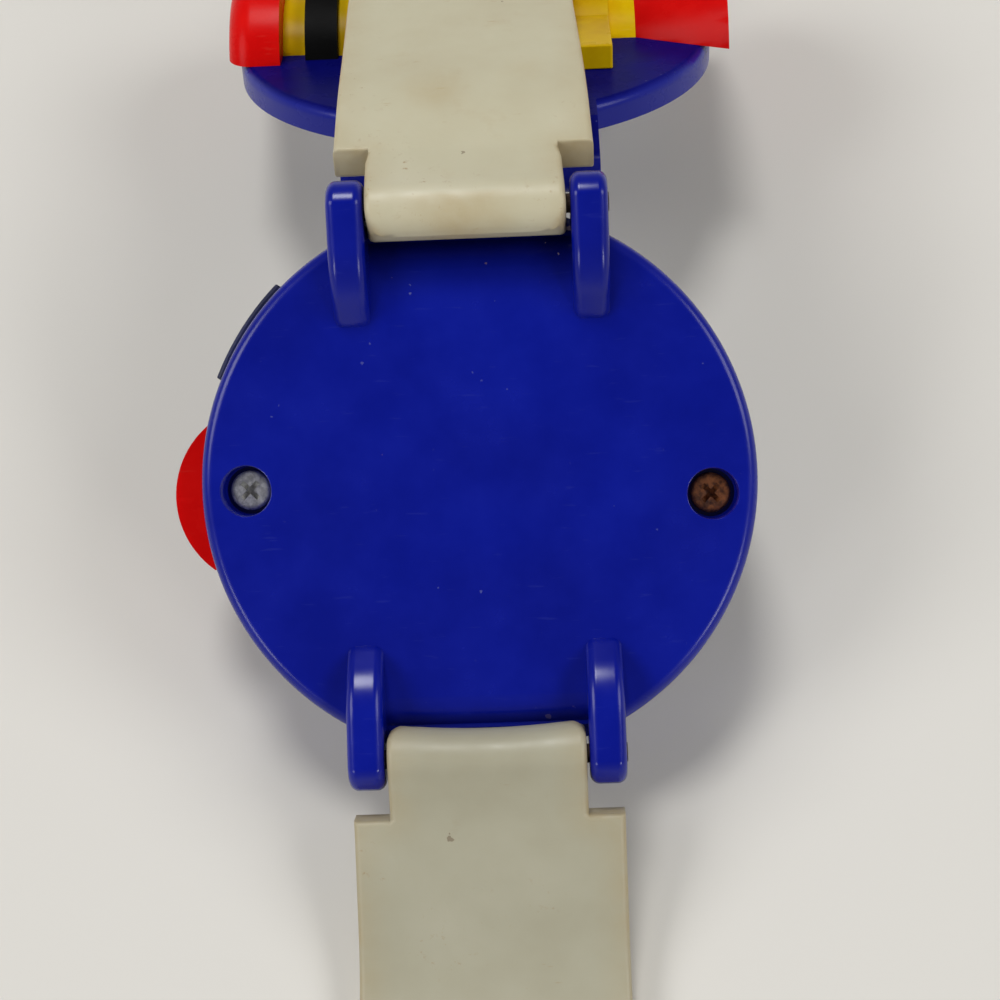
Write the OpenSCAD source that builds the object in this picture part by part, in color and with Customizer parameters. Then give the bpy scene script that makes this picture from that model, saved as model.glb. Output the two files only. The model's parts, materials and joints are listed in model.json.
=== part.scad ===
// Toy wrist watch with a flip-up lid. It stands as a tent, back up, on the
// front edge of its case and the far edge of its open lid.
// Case frame: X across the case, Y towards the lid hinge, Z out of the back.
// The origin is the middle of the case back. All sizes are in millimetres.

/* [Case] */
// Radius of the round case
case_r = 22; // [21:0.5:26]
// Depth of the back cover, from the back to the seam
cover_depth = 2.5; // [2.2:0.1:3]
// Rounding of the back edge
cover_edge_r = 1; // [0.5:0.1:1.2]
// Skin of the back cover over the battery
cover_skin = 1.15; // [0.8:0.05:1.6]
// Side wall of the front case
wall = 1.5; // [1.2:0.1:1.8]
// Width of the case front around its opening
front_rim = 8; // [7.8:0.1:8.4]
// Running gap around the buttons in the case wall
slide_gap = 0.25; // [0.15:0.05:0.35]

/* [Case screws] */
// Distance of each screw axis from the case edge
screw_inset = 3.62; // [3.3:0.1:4]
// Offset of the right screw from the middle of the case, away from the hinge
screw_drop = 1.5; // [0:0.1:2]
// Radius of the recess in the back
recess_r = 2; // [1.8:0.05:2.2]
// Depth of the screw heads below the back
recess_depth = 2.1; // [1.6:0.1:2.4]
// Radius of the screw heads
head_r = 1.6; // [1.3:0.05:1.75]
// Height of the screw heads
head_h = 1; // [0.8:0.1:1.2]
// Radius of the screw shanks
shank_r = 0.85; // [0.7:0.05:1]
// Length of the screw shanks
shank_len = 4.4; // [3.6:0.1:4.6]
// Cover floor under each screw head
seat_t = 0.9; // [0.7:0.1:1.2]
// Radius of the screw posts
post_r = 2.6; // [2.4:0.05:2.7]

/* [Strap lugs] */
// Middle of each lug from the centre line
lug_x = 9.4; // [8.8:0.1:10]
// Thickness of each lug
lug_t = 2.9; // [2.4:0.1:3.2]
// Radius of the rounded lug ends
lug_end_r = 2.4; // [2:0.1:2.6]
// Distance of the strap pins inside the case edge
pin_inset = 0.6; // [0.4:0.1:0.9]
// Height of the strap pins over the back
pin_z = 1.2; // [1:0.1:1.5]
// Length of the lug from the pin to the foot of its ramp
ramp_foot = 9; // [8:0.2:10]
// Length of the lug from the pin to the top of its ramp
ramp_top = 5.7; // [5:0.1:6.2]
// Height of the ramp's top over the back
ramp_h = 2.9; // [2.4:0.1:3.2]
// Radius of the strap pins
strap_pin_r = 0.75; // [0.6:0.05:0.9]
// Gap between the strap's rolled end and the scoop's edge on the back
scoop_gap = 0.15; // [0.1:0.05:0.3]
// Length of pin that stands out of each lug
pin_stub = 0.1; // [0.1:0.1:0.6]

/* [Strap] */
// Width of the strap
strap_w = 21.2; // [20:0.2:23]
// Thickness of the strap
strap_t = 2.6; // [2.2:0.1:2.8]
// Radius of the strap's rolled end on its pin
barrel_r = 2.4; // [2:0.1:2.6]
// Distance of the strap's shoulders from its pin
shoulder = 4.9; // [4.4:0.1:5.6]
// Side gap of the strap's tab between the lugs
tab_gap = 0.2; // [0.15:0.05:0.4]
// Running clearance around pins
pin_gap = 0.06; // [0.03:0.01:0.1]
// Length of the lower strap from its pin to its tip
lower_len = 90; // [80:1:105]
// Bend radius where the lower strap meets the table
lower_bend_r = 15; // [12:1:20]
// Radius of the buckle holes
hole_r = 1.1; // [0.9:0.05:1.4]
// Spacing of the buckle holes
hole_pitch = 6; // [5:0.5:6.5]
// Number of buckle holes
hole_count = 8; // [5:1:8]
// Distance of the first buckle hole from the tip
hole_first = 14; // [12:1:18]
// Angle of the upper strap's root below the case plane
upper_drop = 38; // [36:1:39]
// Straight root of the upper strap
upper_root = 9; // [8:0.5:10]
// Angle of the first bend of the upper strap, over the lid
upper_bend = 12; // [10:1:12]
// Radius of the first bend
upper_bend_r = 30; // [25:1:40]
// Straight run of the upper strap over the lid
upper_run = 24; // [24:0.5:28]
// Angle of the second bend of the upper strap, towards the table
fall_bend = 24; // [20:1:25]
// Radius of the second bend
fall_bend_r = 20; // [15:1:22]
// Radius of the bend where the upper strap meets the table
flat_bend_r = 10; // [8:1:12]
// Flat run of the upper strap, up to the buckle pin
flat_run = 15; // [13:0.5:20]

/* [Buckle and keeper] */
// Radius of the buckle pin
buckle_pin_r = 0.6; // [0.5:0.05:0.7]
// Reach of the buckle from its pin to its outer edge
buckle_len = 10; // [9:0.5:12]
// Width of the buckle's bars
buckle_bar = 2; // [1.6:0.1:2.4]
// Thickness of the buckle's bars
buckle_t = 2.2; // [2:0.1:2.4]
// Side gap between the strap and the buckle
buckle_gap = 0.25; // [0.2:0.05:0.4]
// Width of the buckle's tongue
tongue_w = 2; // [1.6:0.1:2.4]
// Thickness of the buckle's tongue
tongue_t = 0.9; // [0.7:0.1:1]
// Swelling of the strap's end around the buckle pin
end_swell = 0.3; // [0.2:0.05:0.4]
// Wall of the keeper loop
keeper_wall = 1.1; // [0.9:0.1:1.3]
// Length of the keeper loop along the strap
keeper_len = 5.5; // [4.5:0.5:6]
// Gap of the keeper loop around the strap
keeper_gap = 0.1; // [0.1:0.05:0.25]
// Room in the keeper loop for the other strap
keeper_room = 3; // [2.8:0.1:3.6]

/* [Lid] */
// Reach of the lid past the case edge
lid_over = 0; // [0:0.1:0.8]
// Thickness of the lid at its rim
lid_t = 2.4; // [2:0.1:2.6]
// Rounding of the lid's outer edge
lid_edge_r = 0.9; // [0.5:0.1:1]
// Thickness of the lid's plate
lid_plate = 1.2; // [1:0.1:1.5]
// Width of the lid's rim
lid_rim = 1.6; // [1.2:0.1:2]
// Gap between the closed lid and the case
lid_gap = 0.3; // [0.2:0.05:0.4]
// Angle of the open lid from closed
lid_open = 121.1; // [119:0.1:122]
// Distance of the hinge axis outside the case edge
hinge_reach = 3.43; // [3.2:0.1:4]
// Height of the hinge axis behind the case front
hinge_rise = 0.69; // [0.5:0.05:1]
// Radius of the hinge knuckles
hinge_r = 1.8; // [1.6:0.1:1.9]
// Radius of the hinge pin
hinge_pin_r = 0.75; // [0.6:0.05:0.9]
// Width of the case's hinge knuckle
knuckle_w = 14.4; // [12:0.2:15]
// Side gap between the knuckle and the lid's ears
ear_gap = 0.2; // [0.15:0.05:0.3]
// Width of each lid ear
ear_w = 3.3; // [3:0.1:3.8]
// Width of the lid's thumb lip
lip_w = 10; // [8:0.5:14]
// Reach of the thumb lip
lip_reach = 1.2; // [0.8:0.1:1.6]
// Thickness of the thumb lip
lip_t = 1.2; // [1:0.1:1.6]

/* [Rocket on the lid] */
// Offset of the rocket's axis from the lid's middle, away from the hinge
rocket_shift = 3; // [2:0.5:4]
// Depth of the rocket's axis below the lid's face
rocket_sink = 4.3; // [4:0.1:5]
// Radius of the rocket's body about its axis
body_r = 8.5; // [8:0.1:8.9]
// Distance of the rocket's body from the lid's edge, at each end
body_inset = 9.5; // [9:0.1:10]
// Radius of the black band
band_r = 9.3; // [9:0.1:10]
// Width of the black band
band_w = 3; // [2:0.2:4]
// Radius of the collar behind the nose
collar_r = 8; // [7:0.1:8.5]
// Width of the collar
collar_w = 2.2; // [1.6:0.2:3]
// Radius of the nose
nose_r = 10.3; // [9.6:0.1:11]
// Length of the nose
nose_len = 5; // [5:0.2:6]
// Rounding of the nose
nose_round = 2.4; // [1.6:0.1:2.4]
// Radius of the neck in front of the tail
neck_r = 7.2; // [6.6:0.1:8]
// Width of the neck
neck_w = 2.5; // [2:0.1:3]
// Radius of the tail's mouth
tail_r = 11; // [10:0.1:11.6]
// Length of the tail
tail_len = 8.2; // [7:0.2:9]
// Reach of the fins from the rocket's axis
fin_reach = 14; // [12:0.5:15]
// Height of the fins over the lid's face
fin_h = 2.2; // [1.6:0.1:2.4]
// Length of the fins at their root
fin_root = 9; // [7:0.5:10]
// Length of the fins at their outer edge
fin_tip = 3.6; // [3:0.2:5]
// Outer radius of the porthole ring
porthole_r = 2.8; // [2.2:0.1:3.2]
// Width of the porthole ring
porthole_ring = 0.8; // [0.6:0.1:1]
// Depth of the porthole in the body
porthole_depth = 1.2; // [0.8:0.1:1.6]
// Height of the porthole ring over the body
porthole_rise = 0.4; // [0.2:0.1:0.6]

/* [Buttons] */
// Radius of the round release button
button_r = 7.4; // [7:0.1:7.8]
// Reach of the release button out of the case
button_proud = 2.7; // [2.2:0.1:3]
// Height of the release button
button_h = 3.8; // [3.2:0.1:4]
// Depth of the release button's top below the seam
button_drop = 1.1; // [0.9:0.1:1.4]
// Offset of the release button from the middle of the case, away from the hinge
button_shift = 0.5; // [0:0.1:0.8]
// Half width of the release button inside the case
button_half = 5.9; // [5.6:0.1:6]
// Travel of the release button
button_travel = 1.2; // [0.8:0.1:1.3]
// Wall of the release button behind the screw post
button_rim = 1.1; // [0.9:0.1:1.3]
// Outer radius of the return springs
spring_r = 0.85; // [0.6:0.05:0.9]
// Wire of the return springs
spring_wire = 0.35; // [0.25:0.05:0.4]
// Offset of each return spring from the button's middle
spring_y = 4.6; // [4.4:0.1:4.7]
// Depth of the spring pockets in the button
spring_pocket = 3; // [2:0.2:3.4]
// Direction of the set key, counted from X
key_angle = 145.2; // [143:0.5:149]
// Width of the set key
key_w = 9; // [7:0.2:9]
// Height of the set key
key_h = 3; // [2.4:0.1:3.2]
// Reach of the set key out of the case
key_proud = 1; // [0.8:0.1:1.4]
// Travel of the set key
key_travel = 0.6; // [0.4:0.1:0.7]
// Thickness of the set key's pad
key_pad = 1.1; // [1:0.05:1.2]
// Width of the set key's stem
key_stem = 5; // [4:0.2:6]
// Thickness of the set key's flange
key_flange = 0.8; // [0.6:0.1:1]
// Overlap of the set key's flange on each side
key_lap = 1; // [0.6:0.1:1.2]

/* [Display module] */
// Width of the ledge that carries the window
ledge_w = 1.2; // [0.8:0.1:1.3]
// Thickness of that ledge
ledge_t = 0.6; // [0.5:0.1:1]
// Thickness of the clear window
window_t = 0.8; // [0.6:0.1:1.2]
// Thickness of the face plate
face_t = 0.6; // [0.4:0.1:0.8]
// Distance of the display panel's ends inside the front opening
lcd_side = 3; // [3:0.1:4]
// Height of the display panel
lcd_h = 13; // [11:0.5:13.5]
// Thickness of the display panel
lcd_t = 1.1; // [0.9:0.1:1.5]
// Border of the display panel behind the face plate
lcd_border = 1.5; // [1:0.1:2]
// Wall of the module frame
frame_wall = 1.4; // [1:0.1:1.5]
// Fitting gap of the display panel in its frame
frame_gap = 0.1; // [0.05:0.05:0.2]
// Height of the contact strips between panel and board
strip_h = 1.4; // [1:0.1:2]
// Width of the contact strips
strip_w = 1.2; // [0.8:0.1:1.6]
// Thickness of the circuit board
board_t = 0.8; // [0.6:0.1:1]
// Length of the circuit board
board_l = 20; // [19.6:0.2:22]
// Radius of the chip's cap
chip_r = 2.2; // [1.6:0.1:2.4]
// Height of the chip's cap
chip_h = 1; // [0.6:0.1:1.4]
// Radius of the button cell
cell_r = 3.4; // [3:0.1:3.8]
// Height of the button cell
cell_h = 2.6; // [2:0.1:3]
// Thickness of the battery clip and the contact leaves
leaf_t = 0.3; // [0.2:0.05:0.35]
// Width of the battery clip and the contact leaves
leaf_w = 3; // [2:0.2:3.6]
// Gap between the battery clip and the cover
clip_gap = 0.15; // [0.1:0.05:0.3]

/* [Hidden] */
$fn = 64;

// Length by which a cut passes the faces that it goes through
overrun = 0.5;

// Colours
blue = [0.05, 0.08, 0.5];
navy = [0.05, 0.07, 0.3];
beige = [0.74, 0.71, 0.6];
red = [0.8, 0.08, 0.04];
yellow = [0.92, 0.8, 0.05];
black = [0.05, 0.05, 0.06];
steel = [0.6, 0.6, 0.6];
rust = [0.35, 0.2, 0.12];
clear = [0.8, 0.9, 0.95, 0.4];
silver = [0.7, 0.72, 0.74];
grey = [0.55, 0.6, 0.52];
green = [0.1, 0.4, 0.2];
white = [0.9, 0.9, 0.88];

// Radius of the front opening, and what fits around it
opening_r = case_r - front_rim;
lcd_w = 2 * (opening_r - lcd_side);

// Stack of the display module, from the case front towards the back
plate_t = ledge_t + window_t;
stack_h = face_t + lcd_t + strip_h + board_t + cell_h + leaf_t;
case_depth = plate_t + stack_h + clip_gap + cover_skin;
front_z = -case_depth;
plate_z = front_z + plate_t;
lcd_z = plate_z + face_t;
strip_z = lcd_z + lcd_t;
board_z = strip_z + strip_h;
board_top = board_z + board_t;
pocket_z = -cover_skin;
seam_z = -cover_depth;
pocket_r = opening_r + ledge_w + clip_gap;
window_r = opening_r + ledge_w - frame_gap;
frame_w = lcd_w + 2 * (frame_wall + frame_gap);
frame_h = lcd_h + 2 * (frame_wall + frame_gap);
chip_x = lcd_w / 2 - lcd_border - chip_r;
chip_y = -board_l / 2 + lcd_border / 2 + chip_r;
foot_x = frame_w / 2 - leaf_w;

// Screws
screw_x = case_r - screw_inset;
function screw_y(side) = side > 0 ? -screw_drop : 0;
seat_z = -recess_depth - head_h;
post_z = seat_z - seat_t;
cross_w_share = 0.25;
cross_l_share = 1.3;
cross_w = head_r * cross_w_share;
cross_l = head_r * cross_l_share;
cross_depth = head_h / 2;

// Lugs and strap pins
pin_y = case_r - pin_inset;
lug_gap = 2 * lug_x - lug_t;
lug_span = 2 * lug_x + lug_t;
lug_root_share = 0.7;
lug_root = cover_depth * lug_root_share;
scoop_r = sqrt(pow(barrel_r + scoop_gap, 2) + pow(pin_z, 2));
tab_w = lug_gap - 2 * tab_gap;

// Lid hinge, with the lid written in its closed place
lid_r = case_r + lid_over;
hinge_y = case_r + hinge_reach;
hinge_z = front_z + hinge_rise;
lid_in = front_z - lid_gap;
lid_out = lid_in - lid_t;
ear_x = knuckle_w / 2 + ear_gap;
ear_slope = hinge_r * sin(45);
ear_root_share = 0.82;
ear_root = lid_r * ear_root_share;
hinge_pin_len = 2 * (ear_x + ear_w);

// Tent pose: the front edge of the case and the lid's lip stand on the table
lip_y = -lid_r - lip_reach;
lip_far_y = hinge_y + (lip_y - hinge_y) * cos(lid_open) - (lid_in - hinge_z) * sin(lid_open);
lip_far_z = hinge_z + (lip_y - hinge_y) * sin(lid_open) + (lid_in - hinge_z) * cos(lid_open);
tent_tilt = atan2(front_z - lip_far_z, lip_far_y + case_r);

function height(y, z) = (y + case_r) * sin(tent_tilt) + (z - front_z) * cos(tent_tilt);

// Angle between the points of a bend
bend_step = 2;

// Centre line of a strap, as points of place along, place up and angle of fall
root_end = [shoulder, 0, 0];
function last(list) = list[len(list) - 1];
function reversed(list) = [for (i = [len(list) - 1 : -1 : 0]) list[i]];
function ahead(p, run) = [p[0] + run * cos(p[2]), p[1] - run * sin(p[2]), p[2]];
function turned(p, r, angle) = [
  p[0] + r * (sin(p[2] + angle) - sin(p[2])) * sign(angle),
  p[1] + r * (cos(p[2] + angle) - cos(p[2])) * sign(angle),
  p[2] + angle
];
function bend(p, r, angle) = let (steps = ceil(abs(angle) / bend_step))
  [for (i = [1 : steps]) turned(p, r, angle * i / steps)];
function edge(path, side) = [
  for (p = path) [p[0] + side * strap_t / 2 * sin(p[2]), p[1] + side * strap_t / 2 * cos(p[2])]
];

// Lower strap: down along the case plane, then flat on the table
lower_drop = height(-pin_y, pin_z) - strap_t / 2;
lower_run = (lower_drop - lower_bend_r * (1 - cos(tent_tilt))) / sin(tent_tilt);
lower_arc = lower_bend_r * tent_tilt * PI / 180;
lower_flat = lower_len - lower_run - lower_arc;
lower_bent = bend(ahead(root_end, lower_run - shoulder), lower_bend_r, -tent_tilt);
lower_end = ahead(last(lower_bent), lower_flat);
lower_path = concat([root_end, ahead(root_end, lower_run - shoulder)], lower_bent, [lower_end]);
tip_share = 0.55;
tip_r = strap_w * tip_share;

// Upper strap: over the lid, down and then flat on the table inside its keeper
slope_1 = upper_drop - tent_tilt;
slope_2 = slope_1 + upper_bend;
slope_3 = slope_2 + fall_bend;
flat_z = strap_t / 2 + keeper_gap + keeper_wall;
end_r = strap_t / 2 + end_swell;
upper_fall = height(pin_y, pin_z) - flat_z
  - upper_root * sin(slope_1)
  - upper_bend_r * (cos(slope_1) - cos(slope_2))
  - upper_run * sin(slope_2)
  - fall_bend_r * (cos(slope_2) - cos(slope_3))
  - flat_bend_r * (1 - cos(slope_3));
upper_last = upper_fall / sin(slope_3);
upper_1 = ahead(root_end, upper_root - shoulder);
upper_2 = bend(upper_1, upper_bend_r, upper_bend);
upper_3 = ahead(last(upper_2), upper_run);
upper_4 = bend(upper_3, fall_bend_r, fall_bend);
upper_5 = ahead(last(upper_4), upper_last);
upper_6 = bend(upper_5, flat_bend_r, -slope_3);
upper_7 = ahead(last(upper_6), flat_run - end_r / 2);
upper_end = ahead(last(upper_6), flat_run);
upper_path = concat([root_end, upper_1], upper_2, [upper_3], upper_4, [upper_5], upper_6, [upper_7]);

// Buckle and keeper, on the flat end of the upper strap
boss_share = 0.2;
buckle_boss = buckle_t / 2 + buckle_bar * boss_share;
buckle_in = strap_w / 2 + buckle_gap;
slot_share = 1.5;
slot_w = tongue_w * slot_share;
tongue_r = end_r - keeper_gap;
tongue_top = -buckle_t / 2 - keeper_gap;
keeper_share = 1.3;
keeper_y = keeper_len * keeper_share;

// Rocket
body_half = lid_r - body_inset;
axis_y = -rocket_shift;
axis_z = lid_out + rocket_sink;
nose_x = -body_half - band_w - collar_w;
tail_x = body_half + neck_w;
rocket_top = axis_z - body_r;
porthole_share = 0.35;
porthole_x = -body_half * porthole_share;

// Buttons
button_x = -(case_r + button_proud - button_r);
button_top = seam_z - button_drop;
button_z = button_top - button_h;
slot_r = post_r + slide_gap;
button_in = -screw_x + slot_r + button_rim;
spring_z = board_z - spring_r - frame_gap;
spring_len = -frame_w / 2 - button_in + spring_pocket;
key_z = button_z + (button_h - key_h) / 2;
key_half = key_stem / 2 + key_lap;
key_seat = sqrt(pow(case_r - wall, 2) - pow(key_half, 2)) - frame_gap;
pad_r = case_r + key_proud - key_pad;
pad_floor_r = pad_r - key_travel - frame_gap;
leaf_gap = leaf_t / 2;

// Turn the case frame to the tent pose
module stand() {
  rotate([tent_tilt, 0, 0])
    children();
}

// Swing what belongs to the lid from closed to open
module open_lid() {
  stand()
    translate([0, hinge_y, hinge_z])
      rotate([lid_open, 0, 0])
        translate([0, -hinge_y, -hinge_z])
          children();
}

// Rod along X
module x_rod(r, len) {
  rotate([0, 90, 0])
    cylinder(r = r, h = len, center = true);
}

// Side profile in Y and Z, drawn out along X
module side_plate(w) {
  rotate([90, 0, 90])
    linear_extrude(height = w, center = true)
      children();
}

// Block with its middle on X and Y
module block(w, l, h) {
  translate([-w / 2, -l / 2, 0])
    cube([w, l, h]);
}

// Disc with one rounded edge, at its top
module rounded_disc(r, h, edge) {
  cylinder(r = r - edge, h = h);
  cylinder(r = r, h = h - edge);
  translate([0, 0, h - edge])
    rotate_extrude()
      translate([r - edge, 0])
        circle(r = edge);
}

// One lug at the hinge end, on the centre line
module lug() {
  side_plate(lug_t) {
    translate([pin_y, pin_z])
      circle(r = lug_end_r);
    polygon([
      [pin_y - ramp_foot, -lug_root],
      [pin_y - ramp_foot, 0],
      [pin_y - ramp_top, ramp_h],
      [pin_y, pin_z + lug_end_r],
      [pin_y, pin_z - lug_end_r],
      [pin_y - lug_end_r / 2, -lug_root]
    ]);
  }
}

module back_cover() {
  color(blue)
    stand()
      difference() {
        union() {
          translate([0, 0, seam_z])
            rounded_disc(case_r, cover_depth, cover_edge_r);
          for (side = [-1, 1])
            translate([side * screw_x, screw_y(side), post_z])
              cylinder(r = post_r, h = -post_z - cover_edge_r);
          for (side = [-1, 1], end = [0, 1])
            mirror([0, end, 0])
              translate([side * lug_x, 0, 0])
                lug();
        }
        translate([0, 0, seam_z - overrun])
          cylinder(r = pocket_r, h = pocket_z - seam_z + overrun);
        for (end = [-1, 1])
          translate([0, end * pin_y, pin_z]) {
            x_rod(scoop_r, lug_gap);
            x_rod(strap_pin_r, lug_span + overrun);
          }
        for (side = [-1, 1])
          translate([side * screw_x, screw_y(side), seat_z]) {
            cylinder(r = recess_r, h = -seat_z + overrun);
            translate([0, 0, -seat_t - overrun])
              cylinder(r = shank_r + pin_gap, h = seat_t + 2 * overrun);
          }
      }
}

// Knuckle of the lid hinge and the web that joins it to the case
module hinge_knuckle() {
  side_plate(knuckle_w) {
    translate([hinge_y, hinge_z])
      circle(r = hinge_r);
    polygon([
      [opening_r, front_z + lid_gap],
      [hinge_y, front_z + lid_gap],
      [hinge_y, hinge_z + hinge_r / 2],
      [opening_r, hinge_z + hinge_r / 2]
    ]);
  }
}

// Shallow seat for the set key's pad, and the slot for its stem
module key_window(h) {
  difference() {
    translate([case_r, 0, 0])
      block(2 * wall, key_w + 2 * slide_gap, h);
    translate([0, 0, -overrun])
      cylinder(r = pad_floor_r, h = h + 2 * overrun);
  }
  translate([case_r - wall / 2, 0, 0])
    block(2 * wall, key_stem + 2 * slide_gap, h);
}

module case_shell() {
  color(blue)
    stand()
      difference() {
        union() {
          difference() {
            union() {
              translate([0, 0, front_z])
                cylinder(r = case_r, h = seam_z - front_z);
              hinge_knuckle();
            }
            translate([0, 0, plate_z])
              cylinder(r = case_r - wall, h = seam_z - plate_z + overrun);
            translate([button_x, -button_shift, button_z - slide_gap])
              cylinder(r = button_r + slide_gap, h = button_h + 2 * slide_gap);
            rotate([0, 0, key_angle])
              translate([0, 0, key_z - slide_gap])
                key_window(key_h + 2 * slide_gap);
          }
          for (side = [-1, 1])
            translate([side * screw_x, screw_y(side), plate_z])
              cylinder(r = post_r, h = post_z - plate_z);
        }
        translate([0, 0, front_z - overrun])
          cylinder(r = opening_r, h = plate_t + 2 * overrun);
        translate([0, 0, front_z + ledge_t])
          cylinder(r = window_r, h = window_t + overrun);
        for (side = [-1, 1])
          translate([side * screw_x, screw_y(side), post_z]) {
            cylinder(r = post_r + frame_gap, h = seam_z - post_z + overrun);
            translate([0, 0, seat_z - shank_len - post_z])
              cylinder(r = shank_r, h = shank_len);
          }
        translate([0, hinge_y, hinge_z])
          x_rod(hinge_pin_r, knuckle_w + overrun);
      }
}

// Cross-head screw, with its axis at the given side
module case_screw(side) {
  stand()
    translate([side * screw_x, screw_y(side), seat_z])
      difference() {
        union() {
          rounded_disc(head_r, head_h, head_h / 2);
          translate([0, 0, -shank_len])
            cylinder(r = shank_r, h = shank_len);
        }
        for (turn = [45, 135])
          translate([0, 0, head_h - cross_depth])
            rotate([0, 0, turn])
              block(cross_w, cross_l, cross_depth + overrun);
      }
}

module case_screw_left() {
  color(steel)
    case_screw(-1);
}

module case_screw_right() {
  color(rust)
    case_screw(1);
}

module display_window() {
  color(clear)
    stand()
      translate([0, 0, front_z + ledge_t])
        cylinder(r = window_r, h = window_t);
}

module face_plate() {
  color(silver)
    stand()
      translate([0, 0, plate_z])
        difference() {
          cylinder(r = window_r, h = face_t);
          translate([0, 0, -overrun])
            block(lcd_w - 2 * lcd_border, lcd_h - 2 * lcd_border, face_t + 2 * overrun);
        }
}

module display_panel() {
  color(grey)
    stand()
      translate([0, 0, lcd_z])
        block(lcd_w, lcd_h, lcd_t);
}

module module_frame() {
  color(white)
    stand()
      translate([0, 0, lcd_z])
        difference() {
          block(frame_w, frame_h, lcd_t + strip_h);
          translate([0, 0, -overrun])
            block(lcd_w + 2 * frame_gap, lcd_h + 2 * frame_gap, lcd_t + strip_h + 2 * overrun);
        }
}

module contact_strips() {
  color(black)
    stand()
      for (side = [-1, 1])
        translate([0, side * (lcd_h / 2 - strip_w), strip_z])
          block(lcd_w - 2 * lcd_border, strip_w, strip_h);
}

module circuit_board() {
  color(green)
    stand()
      translate([0, 0, board_z])
        block(frame_w, board_l, board_t);
}

module chip_cap() {
  color(black)
    stand()
      translate([chip_x, chip_y, board_top])
        rounded_disc(chip_r, chip_h, chip_h / 2);
}

module button_cell() {
  color(steel)
    stand()
      translate([0, 0, board_top])
        rounded_disc(cell_r, cell_h, leaf_t);
}

module battery_clip() {
  color(steel)
    stand()
      translate([0, 0, board_top]) {
        translate([0, 0, cell_h])
          block(2 * (cell_r + leaf_w), leaf_w, leaf_t);
        for (side = [-1, 1])
          translate([side * (cell_r + leaf_w - leaf_t / 2), 0, 0])
            block(leaf_t, leaf_w, cell_h);
      }
}

// Contact leaf: a foot on the board and a blade that hangs in front of a button
module contact_leaf(blade_x, start_x) {
  translate([0, -leaf_w / 2, board_top]) {
    translate([start_x, 0, 0])
      cube([blade_x - start_x, leaf_w, leaf_t]);
    translate([blade_x - leaf_t, 0, -board_t - leaf_t])
      cube([leaf_t, leaf_w, board_t + leaf_t]);
  }
}

module switch_contacts() {
  color(steel)
    stand() {
      translate([0, -button_shift, 0])
        rotate([0, 0, 180])
          contact_leaf(-button_in - button_travel - leaf_gap, foot_x);
      rotate([0, 0, key_angle])
        contact_leaf(key_seat - key_flange - key_travel - leaf_gap, foot_x);
    }
}

module lid_hinge_pin() {
  color(steel)
    stand()
      translate([0, hinge_y, hinge_z])
        x_rod(hinge_pin_r, hinge_pin_len);
}

// Strap pin at one end of the case
module strap_pin(end) {
  color(steel)
    stand()
      translate([0, end * pin_y, pin_z])
        x_rod(strap_pin_r, lug_span + 2 * pin_stub);
}

module strap_pin_upper() {
  strap_pin(1);
}

module strap_pin_lower() {
  strap_pin(-1);
}

module release_button() {
  color(red)
    stand()
      translate([0, -button_shift, button_z])
        difference() {
          intersection() {
            translate([button_x, 0, 0])
              cylinder(r = button_r, h = button_h);
            translate([button_in - 2 * button_r, -button_half, -overrun])
              cube([2 * button_r, 2 * button_half, button_h + 2 * overrun]);
          }
          for (x = [-screw_x, -screw_x - button_travel])
            translate([x, button_shift, -overrun])
              cylinder(r = slot_r, h = button_h + 2 * overrun);
          translate([-screw_x - button_travel / 2, button_shift, -overrun])
            block(button_travel, 2 * slot_r, button_h + 2 * overrun);
          for (side = [-1, 1])
            translate([button_in + overrun, side * spring_y, spring_z - button_z])
              rotate([0, -90, 0])
                cylinder(r = spring_r + frame_gap, h = spring_pocket + overrun);
        }
}

module button_springs() {
  color(steel)
    stand()
      for (side = [-1, 1])
        translate([-frame_w / 2, side * spring_y - button_shift, spring_z])
          rotate([0, -90, 0])
            difference() {
              cylinder(r = spring_r, h = spring_len);
              translate([0, 0, -overrun])
                cylinder(r = spring_r - spring_wire, h = spring_len + 2 * overrun);
            }
}

module set_key() {
  color(navy)
    stand()
      rotate([0, 0, key_angle])
        translate([0, 0, key_z]) {
          intersection() {
            difference() {
              cylinder(r = case_r + key_proud, h = key_h);
              translate([0, 0, -overrun])
                cylinder(r = pad_r, h = key_h + 2 * overrun);
            }
            translate([case_r / 2, -key_w / 2, -overrun])
              cube([case_r, key_w, key_h + 2 * overrun]);
          }
          translate([key_seat, -key_stem / 2, 0])
            cube([case_r - key_seat, key_stem, key_h]);
          translate([key_seat - key_flange, -key_half, 0])
            cube([key_flange, 2 * key_half, key_h]);
        }
}

// Ear of the lid, in the lid's closed place
module lid_ear() {
  side_plate(ear_w) {
    translate([hinge_y, hinge_z])
      circle(r = hinge_r);
    polygon([
      [ear_root, lid_in],
      [hinge_y - hinge_r, lid_in],
      [hinge_y - hinge_r, hinge_z],
      [hinge_y, hinge_z],
      [hinge_y + ear_slope, hinge_z - ear_slope],
      [lid_r, lid_out],
      [ear_root, lid_out]
    ]);
  }
}

module lid_shell() {
  color(blue)
    open_lid()
      difference() {
        union() {
          difference() {
            translate([0, 0, lid_in])
              mirror([0, 0, 1])
                rounded_disc(lid_r, lid_t, lid_edge_r);
            translate([0, 0, lid_out + lid_plate])
              cylinder(r = lid_r - lid_rim, h = lid_t);
          }
          for (side = [-1, 1])
            translate([side * (ear_x + ear_w / 2), 0, 0])
              lid_ear();
          translate([0, lip_y + lip_reach, lid_in - lip_t])
            block(lip_w, 2 * lip_reach, lip_t);
        }
        translate([0, hinge_y, hinge_z])
          x_rod(hinge_pin_r + pin_gap, hinge_pin_len + overrun);
      }
}

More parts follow.
